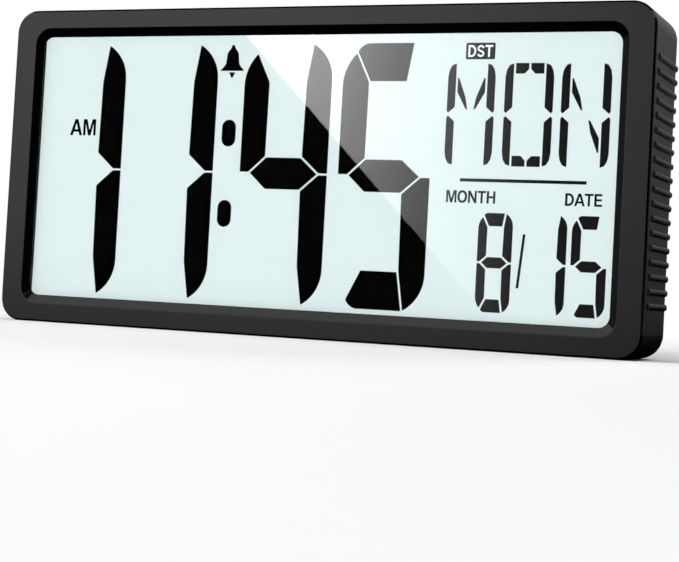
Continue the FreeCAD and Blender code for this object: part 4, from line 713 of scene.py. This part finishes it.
# %% Floor
TABLE_REACH = 40.0
WHITE_FROM, WHITE_AT = 0.35, 1.1     # metres from the clock between which the table turns white
TABLE_SEEN, TABLE_THROWN = "#F4F4F4", "#B4B4B4"


def camera_ray(tree):
    """1 for rays that the camera, a mirror or a clear layer sends, and 0 for light's own bounces."""
    ray = add(tree, "ShaderNodeLightPath").outputs
    seen = add(tree, "ShaderNodeMath", {0: ray["Is Camera Ray"], 1: ray["Is Glossy Ray"]},
               operation="MAXIMUM")
    return add(tree, "ShaderNodeMath", {0: seen.outputs["Value"], 1: ray["Is Transmission Ray"]},
               operation="MAXIMUM").outputs["Value"]


paper, tree = new_material("white table")
skin = add(tree, "ShaderNodeBsdfPrincipled", {
    "Base Color": two_tone(tree, camera_ray(tree), TABLE_THROWN, TABLE_SEEN),
    "Roughness": 0.9, "Specular IOR Level": 0.0})
place = add(tree, "ShaderNodeTexCoord").outputs["Object"]
reach = add(tree, "ShaderNodeVectorMath", {0: place}, operation="LENGTH").outputs["Value"]
far = add(tree, "ShaderNodeMapRange", {"Value": reach, "From Min": WHITE_FROM, "From Max": WHITE_AT},
          interpolation_type="SMOOTHSTEP").outputs["Result"]
share = add(tree, "ShaderNodeMath", {0: far, 1: camera_ray(tree)}, operation="MULTIPLY").outputs["Value"]
even = add(tree, "ShaderNodeEmission", {"Color": WHITE, "Strength": 1.0}).outputs["Emission"]
mixed = add(tree, "ShaderNodeMixShader", {0: share, 1: skin.outputs["BSDF"], 2: even})
finish_tree(tree, mixed.outputs["Shader"])

table = bmesh.new()
bmesh.ops.create_grid(table, x_segments=1, y_segments=1, size=TABLE_REACH)
bmesh.ops.translate(table, verts=table.verts, vec=(0, 0, cad_low.z))
table_mesh = bpy.data.meshes.new("table")
table.to_mesh(table_mesh)
table.free()
table_mesh.materials.append(paper)
floor = bpy.data.objects.new("table", table_mesh)
bpy.context.scene.collection.objects.link(floor)
print("table", 2 * TABLE_REACH, "m wide")

# %% World
WORLD_LIGHT = 0.15
world = bpy.data.worlds.new("studio")
world.use_nodes = True
bpy.context.scene.world = world
tree = world.node_tree
tree.nodes.clear()
fill = add(tree, "ShaderNodeBackground", {"Color": WHITE, "Strength": WORLD_LIGHT})
white = add(tree, "ShaderNodeBackground", {"Color": WHITE, "Strength": 1.0})
both = add(tree, "ShaderNodeMixShader", {
    0: camera_ray(tree), 1: fill.outputs["Background"], 2: white.outputs["Background"]})
add(tree, "ShaderNodeOutputWorld", {"Surface": both.outputs["Shader"]})
print("the world gives", WORLD_LIGHT, "and shows white")

# %% [markdown]
# ## Lamps
# Three soft lamps light the clock at a plain level: a key at the front left, a broad one overhead
# and one behind, for the back. No surface mirrors them, since that is left to the cards below. The
# display lies deep behind its rim, which would shade it unevenly. So its ground is kept out of
# the first two lamps, and a shadowless lamp in front lights it alone. A lamp is kept to some
# objects, or off them, by a collection that isn't part of the scene.

# %% Lamps
def softbox(name, place, aim, wide, high, watts, mirrored=False):
    """A rectangular lamp at a place, aimed at a point, that surfaces may or may not mirror."""
    light = bpy.data.lights.new(name, "AREA")
    light.shape, light.size, light.size_y, light.energy = "RECTANGLE", wide, high, watts
    lamp = bpy.data.objects.new(name, light)
    lamp.location = place
    lamp.rotation_mode = "QUATERNION"
    lamp.rotation_quaternion = (Vector(aim) - Vector(place)).to_track_quat("-Z", "Y")
    lamp.visible_camera, lamp.visible_glossy = False, mirrored
    bpy.context.scene.collection.objects.link(lamp)
    return lamp


def group(name, members, state="INCLUDE"):
    """A collection that a light is kept to, or with EXCLUDE kept off."""
    chosen = bpy.data.collections.new(name)
    for member in members:
        chosen.objects.link(member)
    for place in chosen.collection_objects:
        place.light_linking.link_state = state
    return chosen


middle = (cad_low + cad_high) / 2
key = softbox("key softbox", (-0.9, -1.3, 1.1), middle, 0.9, 0.9, 24.0)
overhead = softbox("overhead softbox", (0, -0.3, 1.6), (0, -0.3, 0), 2.0, 2.0, 14.0)
back_fill = softbox("back softbox", (0.5, 1.5, 0.9), middle, 0.8, 0.8, 14.0)
front_fill = softbox("display fill", (0, -2.5, 0.2), middle, 0.8, 0.8, 45.8)
front_fill.data.use_shadow = False

grounds = [nodes["lcd_rear_glass"], summer_letters]
front_fill.light_linking.receiver_collection = group("display ground", grounds)
all_but_ground = group("all but the display ground", grounds, "EXCLUDE")
for lamp in (key, overhead):
    lamp.light_linking.receiver_collection = all_but_ground
print("lit by", key.name, "/", overhead.name, "/", back_fill.name, "/", front_fill.name)

# %% [markdown]
# ## Cards
# A photographer of glossy black things shapes them with cards: pale cards draw a soft sheen on a
# face, black cards keep an edge dark. All of these only show in reflections. The lens
# mirrors a softbox in front and to the left, whose straight edge crosses the display as a
# slanted line, and which fades to the right. Its outline is drawn on the lens and thrown forward
# from the mirror image of the place that the lens is seen from.

# %% Card helpers
CARD_THROW = 3.0                     # the cards stand this many times further from that eye than the lens
LENS_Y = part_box("display_lens")[0].y
MIRROR_EYE = Vector((CAMERA_AT.x, 2 * LENS_Y - CAMERA_AT.y, CAMERA_AT.z))
CARD_Y = MIRROR_EYE.y + CARD_THROW * (LENS_Y - MIRROR_EYE.y)


def on_card(mm, eye):
    """The coordinate on the card plane that a coordinate on the lens, in millimetres, is thrown to."""
    return eye + CARD_THROW * (mm * MM - eye)


def card(name, corners, material, receivers=None):
    """A flat stage piece that only mirrors can see, given by its corners in metres."""
    shape = bmesh.new()
    shape.faces.new([shape.verts.new(corner) for corner in corners])
    mesh = bpy.data.meshes.new(name)
    shape.to_mesh(mesh)
    shape.free()
    mesh.materials.append(material)
    sheet = bpy.data.objects.new(name, mesh)
    bpy.context.scene.collection.objects.link(sheet)
    sheet.visible_camera = sheet.visible_diffuse = sheet.visible_shadow = sheet.visible_transmission = False
    sheet.light_linking.receiver_collection = receivers
    return sheet


def glowing(name, level):
    """Cloth that glows at a level, which is a number or a function that makes a socket."""
    material, tree = new_material(name)
    value = level if isinstance(level, float) else level(tree)
    cloth = add(tree, "ShaderNodeEmission", {"Color": WHITE, "Strength": value})
    finish_tree(tree, cloth.outputs["Emission"])
    return material


print("cards stand at y", round(CARD_Y, 3), "m")

# %% Glare on the lens
EDGE_SUM_MM = 116.0                       # X + Z along the slanted edge, on the lens
SOFTBOX_LOW_MM, SOFTBOX_HIGH_MM, SOFTBOX_RIGHT_MM = 8, 260, 330
GLARE_X_MM, GLARE_END_MM = 6.3, 126.3     # full glare at this X of the lens, and none at that
GLARE_FALL = 1.55                         # the power of its fade to the right
GLARE_DOWN_MM = 190.0                     # it fades downwards to 1/e in this depth
FAR_BELOW_MM = 1000                       # any depth does, as the fade's exponent is a straight line
GLARE_FULL, GLARE_REST = 8.7, 0.25


def glare(tree):
    """Radiance of the softbox, as a function of the place on the lens that it falls on."""
    place = add(tree, "ShaderNodeTexCoord").outputs["Object"]
    x, _, z = add(tree, "ShaderNodeSeparateXYZ", {"Vector": place}).outputs
    across = add(tree, "ShaderNodeMapRange", {
        "Value": x, "To Min": 1.0, "To Max": 0.0, "From Min": on_card(GLARE_X_MM, MIRROR_EYE.x),
        "From Max": on_card(GLARE_END_MM, MIRROR_EYE.x)}).outputs["Result"]
    fall = add(tree, "ShaderNodeMath", {0: across, 1: GLARE_FALL}, operation="POWER").outputs["Value"]
    down = add(tree, "ShaderNodeMapRange", {
        "Value": z, "To Min": 0.0, "To Max": -FAR_BELOW_MM / GLARE_DOWN_MM,
        "From Min": on_card(WINDOW_UPPER_MM, MIRROR_EYE.z),
        "From Max": on_card(WINDOW_UPPER_MM - FAR_BELOW_MM, MIRROR_EYE.z)}, clamp=False).outputs["Result"]
    fade = add(tree, "ShaderNodeMath", {0: down}, operation="EXPONENT").outputs["Value"]
    both = add(tree, "ShaderNodeMath", {0: fall, 1: fade}, operation="MULTIPLY").outputs["Value"]
    return add(tree, "ShaderNodeMath", {0: both, 1: GLARE_FULL, 2: GLARE_REST},
               operation="MULTIPLY_ADD").outputs["Value"]


outline = ((EDGE_SUM_MM - SOFTBOX_LOW_MM, SOFTBOX_LOW_MM), (SOFTBOX_RIGHT_MM, SOFTBOX_LOW_MM),
           (SOFTBOX_RIGHT_MM, SOFTBOX_HIGH_MM), (EDGE_SUM_MM - SOFTBOX_HIGH_MM, SOFTBOX_HIGH_MM))
corners = [(on_card(x, MIRROR_EYE.x), CARD_Y, on_card(z, MIRROR_EYE.z)) for x, z in outline]
card("bright card", corners, glowing("softbox cloth", glare), group("the lens", [nodes["display_lens"]]))
print("glare from x", GLARE_X_MM, "to", GLARE_END_MM, "mm")

# %% [markdown]
# The matt face of the bezel takes its soft sheen from a second softbox in front. It is a lamp and
# not a card, since a lamp doesn't hide what is behind it, and it skips the lens. Its cloth is
# brightest left of the middle and darkens to the right, so three ramps are multiplied.

# %% Sheen on the bezel
SHEEN_LEFT, SHEEN_RIGHT, SHEEN_HIGH = -2.4, 0.45, 1.3
SHEEN_AHEAD = 0.02                   # from the bright card towards the clock
SHEEN_RAMPS = (("X", -1.3, -0.7, 0.9, 1.15),     # an axis, two places along it, and the levels there
               ("X", -0.5, 0.05, 1.0, 0.2),
               ("Z", 0.0, 0.6, 1.2, 1.15))

sheen_wide = SHEEN_RIGHT - SHEEN_LEFT
sheen_at = Vector((SHEEN_LEFT + sheen_wide / 2, CARD_Y + SHEEN_AHEAD, SHEEN_HIGH / 2))
radiance_one = pi * sheen_wide * SHEEN_HIGH      # the watts at which its cloth has a radiance of 1
sheen = softbox("sheen softbox", sheen_at, sheen_at + Vector((0, 1, 0)), sheen_wide, SHEEN_HIGH,
                radiance_one, mirrored=True)
sheen.visible_diffuse = False
sheen.light_linking.receiver_collection = group("all but the lens", [nodes["display_lens"]], "EXCLUDE")

sheen.data.use_nodes = True
tree = sheen.data.node_tree
tree.nodes.clear()
place = add(tree, "ShaderNodeNewGeometry").outputs["Position"]
axes = add(tree, "ShaderNodeSeparateXYZ", {"Vector": place}).outputs
level = 1.0
for axis, start, end, low, high in SHEEN_RAMPS:
    ramp = add(tree, "ShaderNodeMapRange", {
        "Value": axes[axis], "From Min": start, "From Max": end, "To Min": low, "To Max": high})
    level = add(tree, "ShaderNodeMath", {0: level, 1: ramp.outputs["Result"]},
                operation="MULTIPLY").outputs["Value"]
cloth = add(tree, "ShaderNodeEmission", {"Color": WHITE, "Strength": level})
add(tree, "ShaderNodeOutputLight", {"Surface": cloth.outputs["Emission"]})
print("sheen softbox", round(sheen_wide, 2), "x", SHEEN_HIGH, "m")

# %% [markdown]
# Black cards stand, hang and lie where the polished slopes and chamfers mirror them. A card on the
# left is grey towards the front and draws the lit left edge, and one at the back grows paler
# upwards and draws the sheen of the end wall and the light lines on its ribs.

# %% Shade on the case
MAT_Z = cad_low.z + 0.1 * MM


def standing(start, end, low, high):
    """Corners of an upright card between two points (x, y) and two heights."""
    return [(*start, low), (*end, low), (*end, high), (*start, high)]


def lying(x, y, z):
    """Corners of a level card between two x and two y."""
    return [(x[0], y[0], z), (x[1], y[0], z), (x[1], y[1], z), (x[0], y[1], z)]


def ramp_along(axis, start, end, low, high):
    """A level that goes from low to high along a direction, between two distances in metres."""
    def level(tree):
        place = add(tree, "ShaderNodeTexCoord").outputs["Object"]
        along = add(tree, "ShaderNodeVectorMath", {0: place, 1: axis}, operation="DOT_PRODUCT")
        return add(tree, "ShaderNodeMapRange", {
            "Value": along.outputs["Value"], "From Min": start, "From Max": end,
            "To Min": low, "To Max": high}).outputs["Result"]
    return level


BLACK_CARDS = {
    "black front card": standing((-2.6, CARD_Y - 0.05), (1.6, CARD_Y - 0.05), -0.3, 1.8),
    "black mat": lying((-2.1, 1.4), (CARD_Y, 0.0), MAT_Z),
    "black side mat": lying((0.16, 1.0), (-0.03, 1.1), MAT_Z),
    "black right card": standing((1.9, -0.1), (1.4, CARD_Y), -0.2, 1.2),
    "black top card": lying((-1.4, 1.1), (-0.35, 0.6), 1.35),
}
black = glowing("black cloth", 0.0)
for name, corners in BLACK_CARDS.items():
    card(name, corners, black)
card("left card", standing((-1.7, -0.9), (-1.2, 1.1), -0.2, 0.8),
     glowing("left cloth, grey to black", ramp_along((0, 1, 0), 0.15, 0.35, 0.15, 0.0)))
card("rear card", standing((-0.1, 1.35), (1.6, 1.0), -0.1, 1.5),
     glowing("grey rear card", ramp_along((0, 0, 1), 0.0, 1.1, 0.04, 0.68)))
print("black cards:", len(BLACK_CARDS))
